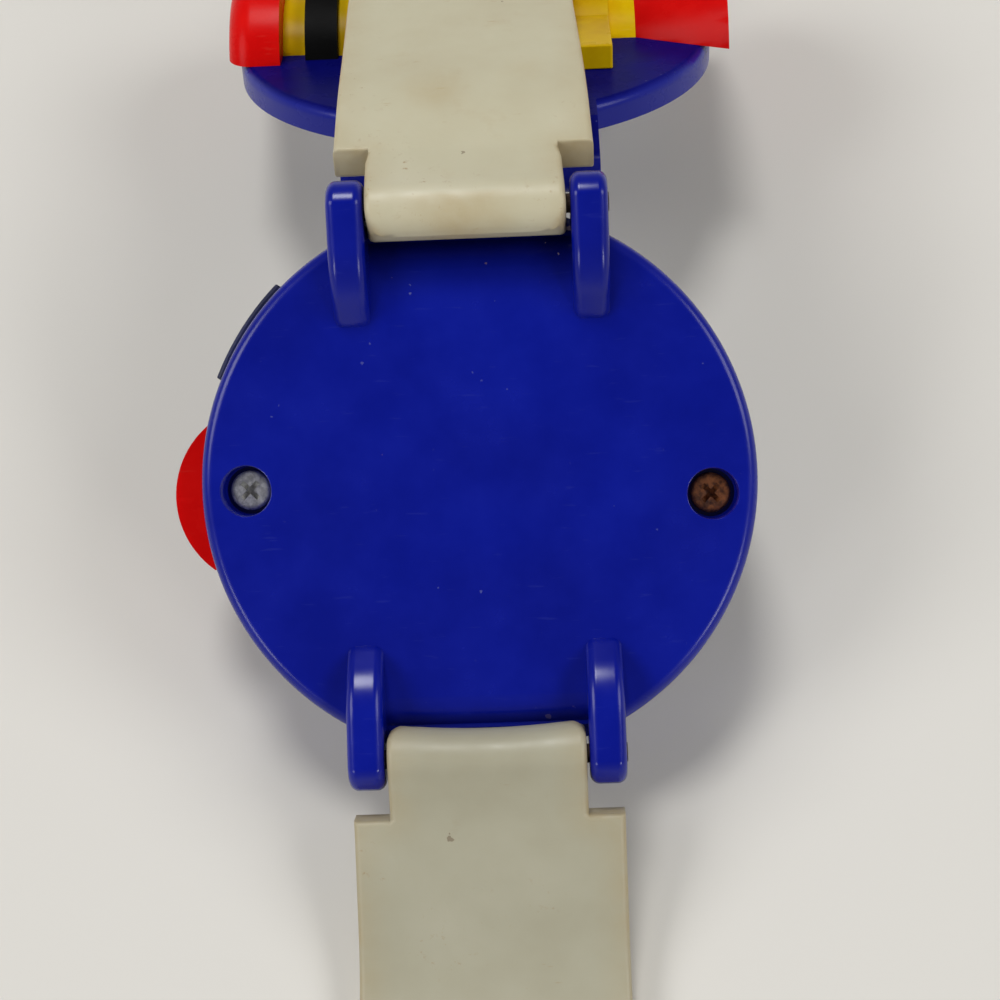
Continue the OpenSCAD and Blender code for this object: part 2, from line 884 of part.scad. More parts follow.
// Round piece about the rocket's axis, which runs along X, cut off at the lid's face
module on_lid() {
  open_lid()
    difference() {
      translate([0, axis_y, axis_z])
        rotate([0, 90, 0])
          children();
      translate([0, 0, lid_out])
        block(4 * lid_r, 4 * lid_r, 2 * lid_r);
    }
}

// Well that holds the porthole, along the outward direction of the lid
module porthole_well(r, depth, rise) {
  translate([porthole_x, axis_y, rocket_top - rise])
    cylinder(r = r, h = depth + rise);
}

module rocket_nose() {
  color(red)
    on_lid()
      translate([0, 0, nose_x])
        mirror([0, 0, 1])
          rounded_disc(nose_r, nose_len, nose_round);
}

module rocket_collar() {
  color(yellow)
    on_lid()
      translate([0, 0, nose_x])
        cylinder(r = collar_r, h = collar_w);
}

module rocket_band() {
  color(black)
    on_lid()
      translate([0, 0, nose_x + collar_w])
        cylinder(r = band_r, h = band_w);
}

module rocket_body() {
  color(yellow)
    difference() {
      on_lid()
        translate([0, 0, -body_half])
          cylinder(r = body_r, h = 2 * body_half);
      open_lid()
        porthole_well(porthole_r, porthole_depth, overrun);
    }
}

module rocket_fins() {
  color(yellow)
    open_lid()
      difference() {
        translate([0, axis_y, lid_out - fin_h])
          linear_extrude(height = fin_h)
            for (side = [-1, 1])
              polygon([
                [body_half - fin_root, 0],
                [body_half - fin_tip, side * fin_reach],
                [body_half, side * fin_reach],
                [body_half, 0]
              ]);
        translate([0, axis_y, axis_z])
          x_rod(body_r, 4 * body_half);
      }
}

module rocket_porthole() {
  color(black)
    open_lid()
      difference() {
        porthole_well(porthole_r, porthole_depth, porthole_rise);
        porthole_well(porthole_r - porthole_ring, porthole_depth + overrun, porthole_rise + overrun);
      }
}

module rocket_lens() {
  color(clear)
    open_lid()
      porthole_well(porthole_r - porthole_ring, porthole_depth, 0);
}

module rocket_neck() {
  color(yellow)
    on_lid()
      translate([0, 0, body_half])
        cylinder(r = neck_r, h = neck_w);
}

module rocket_tail() {
  color(red)
    on_lid()
      translate([0, 0, tail_x])
        cylinder(r1 = neck_r, r2 = tail_r, h = tail_len);
}

// Strap drawn along its centre line, with its top towards +Z
module strap_strip(path) {
  side_plate(strap_w)
    polygon(concat(edge(path, 1), reversed(edge(path, -1))));
}

// Place at a point of a strap's centre line, with Y along the strap
module on_path(point) {
  translate([0, point[0], point[1]])
    rotate([-point[2], 0, 0])
      children();
}

// Root of a strap: the rolled end on its pin and the tab up to the shoulders
module strap_root() {
  side_plate(tab_w) {
    circle(r = barrel_r);
    polygon([
      [0, barrel_r],
      [shoulder, strap_t / 2],
      [shoulder + strap_t, 0],
      [shoulder, -strap_t / 2],
      [0, -strap_t / 2]
    ]);
  }
}

// Place of the upper strap's root, and of its flat end on the table
module upper_start() {
  stand()
    translate([0, pin_y, pin_z])
      rotate([-upper_drop, 0, 0])
        children();
}

module buckle_place() {
  upper_start()
    on_path(upper_end)
      children();
}

module strap_upper() {
  color(beige)
    upper_start()
      difference() {
        union() {
          strap_root();
          strap_strip(upper_path);
          on_path(upper_end)
            x_rod(end_r, strap_w);
        }
        x_rod(strap_pin_r + pin_gap, strap_w);
        on_path(upper_end) {
          x_rod(buckle_pin_r + pin_gap, strap_w + overrun);
          translate([0, 0, -strap_t])
            block(slot_w, 2 * (end_r + tongue_r), 2 * strap_t);
        }
      }
}

module strap_keeper() {
  color(beige)
    buckle_place()
      translate([0, -keeper_y, -strap_t / 2 - keeper_gap]) {
        inner_w = strap_w + 2 * keeper_gap;
        inner_h = strap_t + keeper_gap + keeper_room;
        difference() {
          translate([0, 0, -keeper_wall])
            block(inner_w + 2 * keeper_wall, keeper_len, inner_h + 2 * keeper_wall);
          block(inner_w, keeper_len + overrun, inner_h);
        }
      }
}

module buckle_frame() {
  color(steel)
    buckle_place()
      difference() {
        union() {
          translate([0, buckle_len / 2, -buckle_t / 2])
            block(2 * (buckle_in + buckle_bar), buckle_len, buckle_t);
          for (side = [-1, 1])
            translate([side * (buckle_in + buckle_bar / 2), 0, 0])
              x_rod(buckle_boss, buckle_bar);
        }
        translate([0, (buckle_len - buckle_bar - overrun) / 2, -buckle_t])
          block(2 * buckle_in, buckle_len - buckle_bar + overrun, 2 * buckle_t);
        x_rod(buckle_pin_r, 2 * (buckle_in + buckle_bar) + overrun);
      }
}

module buckle_pin() {
  color(steel)
    buckle_place()
      x_rod(buckle_pin_r, 2 * (buckle_in + buckle_bar));
}

module buckle_tongue() {
  color(steel)
    buckle_place()
      difference() {
        side_plate(tongue_w) {
          circle(r = tongue_r);
          polygon([
            [-tongue_r * sin(30), -tongue_r * cos(30)],
            [0, tongue_top - tongue_t],
            [buckle_len, tongue_top - tongue_t],
            [buckle_len, tongue_top],
            [tongue_r, tongue_top],
            [tongue_r, 0],
            [0, 0]
          ]);
        }
        x_rod(buckle_pin_r + pin_gap, tongue_w + overrun);
      }
}

// Corners that are cut off to leave a rounded tip, with the tip at the origin
module tip_corners() {
  translate([0, -tip_r, -strap_t])
    difference() {
      translate([0, tip_r / 2, 0])
        block(strap_w + overrun, tip_r + overrun, 2 * strap_t);
      translate([0, 0, -overrun])
        cylinder(r = tip_r, h = 2 * (strap_t + overrun));
    }
}

module strap_lower() {
  color(beige)
    stand()
      translate([0, -pin_y, pin_z])
        rotate([0, 0, 180])
          difference() {
            union() {
              strap_root();
              strap_strip(lower_path);
            }
            x_rod(strap_pin_r + pin_gap, strap_w);
            on_path(lower_end) {
              tip_corners();
              for (i = [0 : hole_count - 1])
                translate([0, -hole_first - i * hole_pitch, -strap_t])
                  cylinder(r = hole_r, h = 2 * strap_t);
            }
          }
}

back_cover();
case_shell();
case_screw_left();
case_screw_right();
display_window();
face_plate();
display_panel();
module_frame();
contact_strips();
circuit_board();
chip_cap();
button_cell();
battery_clip();
switch_contacts();
lid_hinge_pin();
strap_pin_upper();
strap_pin_lower();
release_button();
button_springs();
set_key();
lid_shell();
rocket_nose();
rocket_collar();
rocket_band();
rocket_body();
rocket_fins();
rocket_porthole();
rocket_lens();
rocket_neck();
rocket_tail();
strap_upper();
strap_keeper();
buckle_frame();
buckle_pin();
buckle_tongue();
strap_lower();
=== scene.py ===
"""Looks of the toy watch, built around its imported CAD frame."""
import json
import math

import bmesh
import bpy
from mathutils import Matrix, Vector


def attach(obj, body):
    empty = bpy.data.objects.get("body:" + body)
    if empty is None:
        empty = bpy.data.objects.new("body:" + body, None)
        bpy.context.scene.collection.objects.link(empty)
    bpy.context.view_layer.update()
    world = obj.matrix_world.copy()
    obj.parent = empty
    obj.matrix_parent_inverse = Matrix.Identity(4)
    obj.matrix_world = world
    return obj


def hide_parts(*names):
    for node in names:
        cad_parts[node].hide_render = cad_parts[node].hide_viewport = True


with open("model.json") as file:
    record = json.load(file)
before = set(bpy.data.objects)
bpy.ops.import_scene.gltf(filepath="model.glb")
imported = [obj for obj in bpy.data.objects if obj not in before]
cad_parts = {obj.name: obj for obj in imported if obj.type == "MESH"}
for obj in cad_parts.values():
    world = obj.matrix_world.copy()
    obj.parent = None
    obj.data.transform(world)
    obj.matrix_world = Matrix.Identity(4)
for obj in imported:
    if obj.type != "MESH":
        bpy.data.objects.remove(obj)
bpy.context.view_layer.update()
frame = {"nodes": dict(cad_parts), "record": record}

MM = 0.001
TINY = 1e-6
MERGE = 1e-4

# Case sizes in millimetres, in the case frame: X across, Y to the lid hinge, Z out of the back
CASE_R = 22.0
COVER_DEPTH = 2.5
EDGE_R = 1.0
SEAM = 0.2
FRONT_Z = -9.5
SCREW_X = 18.38
SCREW_DROP = 1.5
SCREWS = {"left": Vector((-SCREW_X, 0, 0)), "right": Vector((SCREW_X, -SCREW_DROP, 0))}
RECESS_R = 2.0
# Eased mouth of a screw recess: how much wider it is, and height
RECESS_MOUTH = ((0.0, -0.14), (0.04, -0.04), (0.15, 0.01), (0.15, 1.0))
SEAT_Z = -3.1
POST_R = 2.6
POST_BORE_R = 1.9
POST_END = -4.0
RIM_STEPS = 192
BORE_STEPS = 64
POST_STEPS = 48

# Screw sizes, up from the seat under the head
HEAD_R = 1.6
HEAD_SIDE = 0.4
HEAD_ROUND = 0.5
HEAD_RISE = 0.42
HEAD_CROWN_R = 0.5
HEAD_CROWN = 0.02
HEAD_H = 1.0
HEAD_STEPS = 64
DOME_STEPS = 8
SHANK_R = 0.85
SHANK_END = -4.4
SHANK_CUT = (0.1, 0.2)
CROSS_HALF = 0.92
CROSS_FOOT = 0.45
CROSS_W = 0.4
CROSS_TOP = 1.4
CROSS_EDGE = 0.85
CROSS_DEEP = 0.28
CROSS_TURNS = (45, 135)

# Lug sizes
LUG_X = 9.4
LUG_T = 2.9
LUG_END_R = 2.4
LUG_ROOT = 2.3
LUG_SOFT = 0.75
LUG_EDGE_WEAR = 0.35
LUG_GAP = 2 * LUG_X - LUG_T
PIN_Y = 21.4
PIN_Z = 1.2
RAMP_FOOT = 9.0
RAMP_TOP = 5.7
RAMP_H = 2.9
RAMP_WEAR = 2.2
SCOOP_R = 2.817
# Eased lip of a strap scoop: run past its edge, and height
SCOOP_LIP = ((-2.7, 0.04), (-1.9, -0.02), (-1.3, -0.09), (-0.8, -0.19), (-0.35, -0.36), (0, -0.58),
             (0.25, -0.82), (1.2, -0.82), (1.2, 0.04))

# Lid sizes
LID_OPEN = math.radians(121.1)
HINGE = Vector((0, 25.43, -8.81))
LIP_Y = -23.2
LID_IN = -9.8

# Strap sizes
STRAP_W = 21.2
STRAP_T = 2.6
STRAP_SOFT = 0.5
BARREL_R = 2.4
ROLL_BACK = 2.72
TAB_GAP = 0.2
TAB_HALF = LUG_GAP / 2 - TAB_GAP
TAB_CORNER = 1.2
UPPER_DROP = math.radians(38)
UPPER_ROOT = 9.0
UPPER_BEND = math.radians(12)
UPPER_BEND_R = 30.0
UPPER_RUN = 24.0
FALL_BEND = math.radians(24)
FALL_BEND_R = 20.0
FLAT_BEND_R = 10.0
FLAT_RUN = 15.0
LOWER_LEN = 90.0
LOWER_BEND_R = 15.0
HOLE_R = 1.1
HOLE_COUNT = 8
HOLE_FIRST = 14.0
HOLE_PITCH = 6.0
# Rounded mouth of a hole: how much wider it is, and how deep under the face
HOLE_MOUTH = ((0.15, 0.0), (0.05, 0.04), (0.0, 0.18))
# Half the side of the square that a hole is cut from
HOLE_CELL = 2
# How a strap leans: length over which it starts, and where it fades and over what length
LEAN_RUN = 22
LEAN_END = 35
LEAN_FADE = 20
# Share of a strap's shift at its root
ROOT_SHIFT = 0.15
# Most of the thickness that a rounded edge may take, and length of a slanted shoulder
SOFT_SHARE = 0.42
SLANT_RUN = 0.9
# Reach of the wear at the edges, and share and reach of the fainter wear beyond
EDGE_WEAR = 0.7
SIDE_WEAR = 0.5
SIDE_WEAR_RUN = 5.0
# Smudge on the back of the roll: where it starts, its middle and half its width
SMUDGE_START = -0.8
SMUDGE_X = -0.5
SMUDGE_HALF = 6.5

# Keeper and buckle sizes
KEEPER_GAP = 0.1
KEEPER_WALL = 1.1
KEEPER_HIGH = 4.3
KEEPER_L = 5.5
KEEPER_BACK = 7.15
KEEPER_R = 1.3
KEEPER_INNER_R = 0.25
KEEPER_SOFT = 0.3
BUCKLE_GAP = 0.25
BUCKLE_BAR = 2.0
BUCKLE_REACH = 10.0
BUCKLE_T = 2.2
BUCKLE_CORNER = 2.2
BUCKLE_INNER_CORNER = 0.8
BUCKLE_SOFT = 0.55
EYE_R = 1.5
# Half an eye's profile: radius, and distance from its middle
EYE_PROFILE = [(EYE_R, 0.6), (1.42, 0.85), (1.2, BUCKLE_BAR / 2), (0, BUCKLE_BAR / 2)]
EYE_STEPS = 40
TONGUE_W = 2.0
TONGUE_TOP = -1.2
TONGUE_LOW = -2.1
TONGUE_SOFT = 0.22

# Painted shade at the strap roots, on the back between the lugs: Y of its edges, its share at the lower root,
# and where it ends in X and Z
UPPER_ROOT_SHADE = (14.6, 19.0, 22.5, 23.0)
LOWER_ROOT_SHADE = (-23.0, -22.5, -19.2, -16.6)
LOWER_ROOT_SHADE_SHARE = 0.35
ROOT_SHADE_X = (8.0, 8.4)
ROOT_SHADE_Z = (1.8, 3.0)


def tent_tilt():
    """The tilt at which the case's front edge and the lid's lip stand level."""
    arm = Vector((0, LIP_Y - HINGE.y, LID_IN - HINGE.z))
    y = HINGE.y + arm.y * math.cos(LID_OPEN) - arm.z * math.sin(LID_OPEN)
    z = HINGE.z + arm.y * math.sin(LID_OPEN) + arm.z * math.cos(LID_OPEN)
    return math.atan2(FRONT_Z - z, y + CASE_R)


TILT = tent_tilt()
STAND = Matrix.Rotation(TILT, 4, "X")
LID_AXIS = (STAND @ Matrix.Rotation(LID_OPEN, 4, "X")).to_3x3() @ Vector((0, 0, 1))
FLOOR_Z = (STAND @ Vector((0, -CASE_R, FRONT_Z))).z


# Node helpers for the materials


def new_material(name):
    mat = bpy.data.materials.new(name)
    mat.use_nodes = True
    tree = mat.node_tree
    return mat, tree, tree.nodes["Principled BSDF"]


def feed(tree, socket, value):
    """Gives a socket a fixed value, or a link from another socket."""
    if isinstance(value, bpy.types.NodeSocket):
        tree.links.new(value, socket)
    else:
        socket.default_value = value


def fill(tree, made, **inputs):
    """Sets a node's inputs; an underscore stands for a space in an input's name."""
    for key, value in inputs.items():
        feed(tree, made.inputs[key.replace("_", " ")], value)
    return made


def node(tree, kind, **inputs):
    return fill(tree, tree.nodes.new(kind), **inputs)


def calc(tree, operation, *values, kind="ShaderNodeMath"):
    """Outputs of a math node, with its inputs set in order."""
    made = tree.nodes.new(kind)
    made.operation = operation
    for socket, value in zip(made.inputs, values):
        feed(tree, socket, value)
    return made.outputs


def times(tree, a, b):
    return calc(tree, "MULTIPLY", a, b)[0]


def coords(tree, output="Object"):
    """A texture coordinate; Object is the place on a piece, in metres."""
    return tree.nodes.new("ShaderNodeTexCoord").outputs[output]


def srgb(r, g, b):
    """A colour given in 0 to 255 as the eye sees it."""
    def line(v):
        v /= 255
        return v / 12.92 if v <= 0.04045 else ((v + 0.055) / 1.055) ** 2.4
    return (line(r), line(g), line(b), 1.0)


def grey(v):
    return (v, v, v, 1.0)


def ramp(tree, source, stops):
    """A colour ramp from stops of place and colour."""
    made = node(tree, "ShaderNodeValToRGB", Fac=source)
    band = made.color_ramp
    while len(band.elements) < len(stops):
        band.elements.new(0.5)
    for element, (place, colour) in zip(band.elements, stops):
        element.position = place
        element.color = colour
    return made.outputs["Color"]


def level(tree, source, *stops):
    """A grey ramp from stops of place and value."""
    return ramp(tree, source, [(place, grey(value)) for place, value in stops])


def noise(tree, scale, detail=3.0, rough=0.55, stretch=None):
    """Noise on the piece; a stretch is its scale along each axis and its turn."""
    place = coords(tree)
    if stretch:
        along, turn = stretch
        place = node(tree, "ShaderNodeMapping", Vector=place, Scale=along, Rotation=turn).outputs["Vector"]
    made = node(tree, "ShaderNodeTexNoise", Vector=place, Scale=scale, Detail=detail, Roughness=rough)
    return made.outputs["Fac"]


def specks(tree, scale, size, share):
    """Small uneven specks of different sizes, on a share of the cells."""
    place = coords(tree)
    ragged = node(tree, "ShaderNodeTexNoise", Vector=place, Scale=scale * 4, Detail=2.0).outputs["Color"]
    shift = (0.35 / scale,) * 3
    moved = calc(tree, "MULTIPLY_ADD", ragged, shift, place, kind="ShaderNodeVectorMath")[0]
    cells = node(tree, "ShaderNodeTexVoronoi", Vector=moved, Scale=scale).outputs
    chance = node(tree, "ShaderNodeSeparateColor", Color=cells["Color"]).outputs
    near = calc(tree, "LESS_THAN", cells["Distance"], times(tree, chance["Green"], size * 1.8))[0]
    some = calc(tree, "LESS_THAN", chance["Red"], share)[0]
    return times(tree, near, some)


def mix(tree, factor, a, b):
    """A blend from colour a to colour b."""
    made = tree.nodes.new("ShaderNodeMix")
    made.data_type = "RGBA"
    sockets = {socket.identifier: socket for socket in made.inputs}
    feed(tree, sockets["Factor_Float"], factor)
    feed(tree, sockets["A_Color"], a)
    feed(tree, sockets["B_Color"], b)
    return next(socket for socket in made.outputs if socket.identifier == "Result_Color")


def bump(tree, bsdf, height, strength, depth):
    made = node(tree, "ShaderNodeBump", Height=height, Strength=strength, Distance=depth)
    fill(tree, bsdf, Normal=made.outputs["Normal"])


def worn(tree):
    """How worn a point of a built piece is; zero on a CAD node."""
    made = tree.nodes.new("ShaderNodeAttribute")
    made.attribute_name = "wear"
    return made.outputs["Fac"]


def painted_root_shade(tree):
    """Painted shade on the back beside the strap roots and low on the lugs' inner walls, where the straps and
    lugs shade it.
    """
    in_case = node(tree, "ShaderNodeMapping", Vector=coords(tree), Rotation=(-TILT, 0, 0))
    split = node(tree, "ShaderNodeSeparateXYZ", Vector=in_case.outputs["Vector"]).outputs

    def band(axis, low, high, first, last):
        span = node(tree, "ShaderNodeMapRange", Value=split[axis], From_Min=low * MM, From_Max=high * MM,
                    To_Min=first, To_Max=last)
        span.interpolation_type = "SMOOTHSTEP"
        return span.outputs["Result"]

    start, full, ending, end = UPPER_ROOT_SHADE
    upper = times(tree, band("Y", start, full, 0.0, 1.0), band("Y", ending, end, 1.0, 0.0))
    end, ending, full, start = LOWER_ROOT_SHADE
    lower = times(tree, band("Y", full, start, LOWER_ROOT_SHADE_SHARE, 0.0), band("Y", end, ending, 0.0, 1.0))
    both = calc(tree, "ADD", upper, lower)[0]
    inner, outer = ROOT_SHADE_X
    across = times(tree, band("X", -outer, -inner, 0.0, 1.0), band("X", inner, outer, 1.0, 0.0))
    return times(tree, both, times(tree, across, band("Z", *ROOT_SHADE_Z, 1.0, 0.0)))


def lid_face(tree):
    """One on the lid's two faces and zero on its rim, where a lighter blue is painted as a highlight."""
    along = calc(tree, "DOT_PRODUCT", coords(tree, "Normal"), LID_AXIS, kind="ShaderNodeVectorMath")["Value"]
    return level(tree, times(tree, along, along), (0.35, 0.0), (0.9, 1.0))


# Materials; their numbers are noise scales per metre, ramp stops and shader inputs


def plastic(name, base, low, high, scuff, rim=None, rough=0.3, dust=0.0, shine=0.32):
    """Moulded toy plastic: cloudy colour, fine scratches and worn edges, with dusty specks and painted shade
    at the strap roots where a dust share is given, and a painted highlight on the lid's rim where a rim
    colour is given.
    """
    mat, tree, bsdf = new_material(name)
    colour = ramp(tree, noise(tree, 130, 4), [(0.3, low), (0.5, base), (0.72, high)])
    scratch = noise(tree, 1.0, 2, 0.5, stretch=((420, 3600, 900), (0.3, 0.2, 0.7)))
    fine = level(tree, scratch, (0.67, 0.0), (0.75, 0.5))
    colour = mix(tree, times(tree, fine, 0.1), colour, scuff)
    chips = level(tree, noise(tree, 1500, 4, 0.65), (0.46, 0.0), (0.64, 1.0))
    colour = mix(tree, times(tree, times(tree, worn(tree), chips), 0.5), colour, scuff)
    gleam = shine
    if dust:
        patch = level(tree, noise(tree, 70, 2), (0.48, 0.04), (0.62, 0.4))
        colour = mix(tree, times(tree, specks(tree, 1500, 0.1, dust), patch), colour, srgb(122, 128, 172))
        colour = mix(tree, times(tree, specks(tree, 700, 0.06, dust), patch), colour, srgb(150, 120, 100))
        # Painted shade beside the strap roots and low on the lugs' inner walls: the colour darkens to navy
        # there. The crumbs in it are dust.
        root = painted_root_shade(tree)
        colour = mix(tree, times(tree, root, 0.72), colour, srgb(4, 6, 44))
        crumbs = times(tree, specks(tree, 1000, 0.14, 0.1), times(tree, root, 0.6))
        colour = mix(tree, crumbs, colour, srgb(150, 132, 136))
        # The painted shade dims the gloss too, so that no glints show beside the roots.
        gleam = level(tree, root, (0.0, shine), (1.0, 0.02))
    # A painted highlight: the lid's rim takes a lighter blue than its faces, and more gloss.
    if rim:
        face = lid_face(tree)
        colour = mix(tree, face, rim, colour)
        gleam = level(tree, face, (0.0, 0.2), (1.0, shine))
    gloss = level(tree, noise(tree, 260, 4), (0.3, rough - 0.03), (0.7, rough + 0.05))
    fill(tree, bsdf, Base_Color=colour, Roughness=gloss, Specular_IOR_Level=gleam)
    bump(tree, bsdf, noise(tree, 600, 2), 0.03, 0.00004)
    return mat


def metal(name, base, low, *rust, rough=0.32):
    """Plated steel with a brushed grain, under rust of two colours where they are given."""
    mat, tree, bsdf = new_material(name)
    grain = noise(tree, 1.0, 3, 0.6, stretch=((2600, 500, 2600), (0, 0, 0.4)))
    colour = ramp(tree, grain, [(0.3, low), (0.65, base)])
    bare = 1.0
    smooth, dull = rough - 0.08, rough + 0.16
    if rust:
        mask = level(tree, noise(tree, 1300, 5, 0.7), (0.3, 0.25), (0.55, 1.0))
        flakes = ramp(tree, noise(tree, 2600, 4), [(0.3, rust[0]), (0.6, rust[1])])
        colour = mix(tree, mask, colour, flakes)
        bare = calc(tree, "SUBTRACT", 1.0, mask)[0]
        smooth, dull = 0.6, 0.85
    gloss = level(tree, noise(tree, 1800, 4), (0.3, smooth), (0.7, dull))
    fill(tree, bsdf, Base_Color=colour, Metallic=bare, Roughness=gloss)
    bump(tree, bsdf, noise(tree, 2400, 4), 0.3 if rust else 0.1, 0.0001)
    return mat


def vinyl(name, base, low, high, stain, edge):
    """Aged off-white strap vinyl with brown marks and yellowed edges."""
    mat, tree, bsdf = new_material(name)
    colour = ramp(tree, noise(tree, 90, 4), [(0.3, low), (0.52, base), (0.75, high)])
    blotch = level(tree, noise(tree, 115, 6, 0.7), (0.6, 0.0), (0.78, 0.32))
    colour = mix(tree, blotch, colour, stain)
    pores = level(tree, noise(tree, 1400, 4, 0.7), (0.6, 0.0), (0.7, 1.0))
    patch = level(tree, noise(tree, 85, 3), (0.54, 0.0), (0.66, 0.6))
    colour = mix(tree, times(tree, pores, patch), colour, srgb(142, 104, 56))
    marks = noise(tree, 1.0, 3, 0.6, stretch=((330, 1900, 330), (0, 0, 0.12)))
    colour = mix(tree, level(tree, marks, (0.7, 0.0), (0.77, 0.5)), colour, stain)
    colour = mix(tree, times(tree, specks(tree, 330, 0.055, 0.4), 0.6), colour, srgb(104, 84, 62))
    grime = level(tree, noise(tree, 420, 4), (0.3, 0.3), (0.7, 0.75))
    colour = mix(tree, times(tree, worn(tree), grime), colour, edge)
    gloss = level(tree, noise(tree, 600, 4), (0.3, 0.36), (0.7, 0.5))
    fill(tree, bsdf, Base_Color=colour, Roughness=gloss, Specular_IOR_Level=0.45)
    fill(tree, bsdf, Subsurface_Weight=0.06, Subsurface_Radius=(0.002, 0.0015, 0.001), Subsurface_Scale=0.5)
    bump(tree, bsdf, noise(tree, 1300, 4), 0.16, 0.0001)
    return mat


def clear(name, tint):
    """Clear moulded plastic with a slight tint."""
    mat, tree, bsdf = new_material(name)
    colour = ramp(tree, noise(tree, 300, 2), [(0.3, tint), (0.7, grey(1.0))])
    gloss = level(tree, noise(tree, 1500, 4), (0.4, 0.03), (0.75, 0.14))
    fill(tree, bsdf, Base_Color=colour, Roughness=gloss, Transmission_Weight=0.9, IOR=1.46)
    return mat


def coated(name, low, base, rough, scale=500, metallic=0.0):
    """A plain coat, board or panel with fine mottling."""
    mat, tree, bsdf = new_material(name)
    colour = ramp(tree, noise(tree, scale, 4), [(0.3, low), (0.7, base)])
    gloss = level(tree, noise(tree, scale * 3, 3), (0.3, rough - 0.06), (0.7, rough + 0.08))
    fill(tree, bsdf, Base_Color=colour, Roughness=gloss, Metallic=metallic)
    bump(tree, bsdf, noise(tree, scale * 4, 3), 0.08, 0.00005)
    return mat


LOOKS = {"clear_plastic": clear("clear_plastic", (0.88, 0.94, 0.95, 1.0))}


def add_look(maker, name, *colours, **settings):
    """Keeps a material under its name; the colours are in 0 to 255."""
    LOOKS[name] = maker(name, *(srgb(*colour) for colour in colours), **settings)


add_look(plastic, "blue_plastic", (3, 18, 133), (2, 15, 124), (5, 22, 142), (84, 96, 176),
         rough=0.23, dust=0.05)
# The lid: a darker copy of the case's blue that paints the shade it lies in, and a lighter rim colour as a
# painted highlight.
add_look(plastic, "lid_plastic", (8, 10, 100), (5, 7, 86), (14, 18, 116), (70, 78, 150), (22, 30, 134),
         rough=0.26, dust=0.09, shine=0.01)
add_look(plastic, "navy_plastic", (13, 20, 62), (9, 15, 50), (18, 26, 76), (70, 80, 130), rough=0.4)
add_look(plastic, "red_plastic", (208, 10, 9), (194, 7, 8), (218, 18, 13), (232, 120, 100),
         rough=0.26, shine=0.06)
add_look(plastic, "yellow_plastic", (222, 184, 4), (200, 152, 2), (232, 202, 10), (245, 232, 150),
         rough=0.28, shine=0.05)
add_look(plastic, "black_plastic", (8, 8, 8), (4, 4, 4), (14, 13, 13), (80, 78, 76), rough=0.45, shine=0.05)
add_look(vinyl, "strap_vinyl", (191, 185, 158), (186, 178, 150), (197, 191, 166), (168, 142, 98),
         (172, 150, 106))
# The lower strap: a darker, greyer copy of the strap vinyl that paints the shade on it.
add_look(vinyl, "lower_vinyl", (167, 163, 142), (161, 156, 134), (174, 170, 150), (146, 122, 84),
         (166, 144, 100))
add_look(coated, "white_plastic", (214, 212, 204), (232, 230, 224), rough=0.5)
add_look(coated, "silver_plate", (150, 153, 158), (186, 188, 192), rough=0.34, scale=900, metallic=0.7)
add_look(coated, "display_glass", (146, 158, 134), (162, 173, 148), rough=0.22, scale=300)
add_look(coated, "board", (18, 72, 38), (28, 96, 52), rough=0.42, scale=800)
add_look(coated, "elastomer", (22, 22, 22), (40, 40, 40), rough=0.7, scale=1200)
add_look(metal, "steel", (196, 196, 192), (150, 150, 146))
add_look(metal, "screw_steel", (226, 225, 216), (150, 149, 142), (176, 175, 166), (232, 231, 220), rough=0.4)
add_look(metal, "rusty_steel", (120, 100, 88), (60, 44, 36), (92, 48, 26), (178, 108, 58), rough=0.6)
add_look(metal, "pin_steel", (70, 56, 48), (40, 30, 26), (58, 40, 32), (84, 62, 50), rough=0.6)


# Mesh helpers, in millimetres


def add_piece(name, bm, place, slot, body, replaced=(), smooth=40, look=None):
    """A mesh in millimetres becomes a piece in metres that rides on its body."""
    bmesh.ops.remove_doubles(bm, verts=bm.verts, dist=MERGE)
    bmesh.ops.recalc_face_normals(bm, faces=bm.faces)
    bm.transform(Matrix.Scale(MM, 4) @ place)
    mesh = bpy.data.meshes.new(name)
    bm.to_mesh(mesh)
    bm.free()
    piece = bpy.data.objects.new(name, mesh)
    bpy.context.scene.collection.objects.link(piece)
    shade(mesh, smooth)
    keep_flats(piece)
    mesh.materials.append(LOOKS[look or slot])
    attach(piece, body)
    if replaced:
        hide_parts(*replaced)


def shade(mesh, angle):
    """Smooth faces, with edges sharper than the angle kept."""
    for face in mesh.polygons:
        face.use_smooth = True
    bm = bmesh.new()
    bm.from_mesh(mesh)
    for edge in bm.edges:
        if len(edge.link_faces) == 2:
            edge.smooth = edge.calc_face_angle(0.0) < math.radians(angle)
    bm.to_mesh(mesh)
    bm.free()


def keep_flats(obj):
    """Normals that follow the large faces, so that flats stay flat beside a rounding."""
    even = obj.modifiers.new("flats", "WEIGHTED_NORMAL")
    even.mode = "FACE_AREA"
    even.weight = 50
    even.keep_sharp = True


def lathe(bm, profile, steps, turn=Matrix.Identity(4)):
    """A closed solid turned about Z from points of radius and height, with flat faces at open ends."""
    angles = [2 * math.pi * i / steps for i in range(steps)]
    rings = []
    for r, z in profile:
        if r < TINY:
            rings.append([bm.verts.new(turn @ Vector((0, 0, z)))])
        else:
            rings.append([bm.verts.new(turn @ Vector((r * math.cos(a), r * math.sin(a), z))) for a in angles])
    for low, high in zip(rings, rings[1:]):
        for i in range(steps):
            j = (i + 1) % steps
            if len(low) == 1 and len(high) > 1:
                bm.faces.new((low[0], high[i], high[j]))
            elif len(high) == 1 and len(low) > 1:
                bm.faces.new((low[i], low[j], high[0]))
            elif len(low) > 1:
                bm.faces.new((low[i], low[j], high[j], high[i]))
    for ring in (rings[0], rings[-1]):
        if len(ring) > 1:
            bm.faces.new(ring)


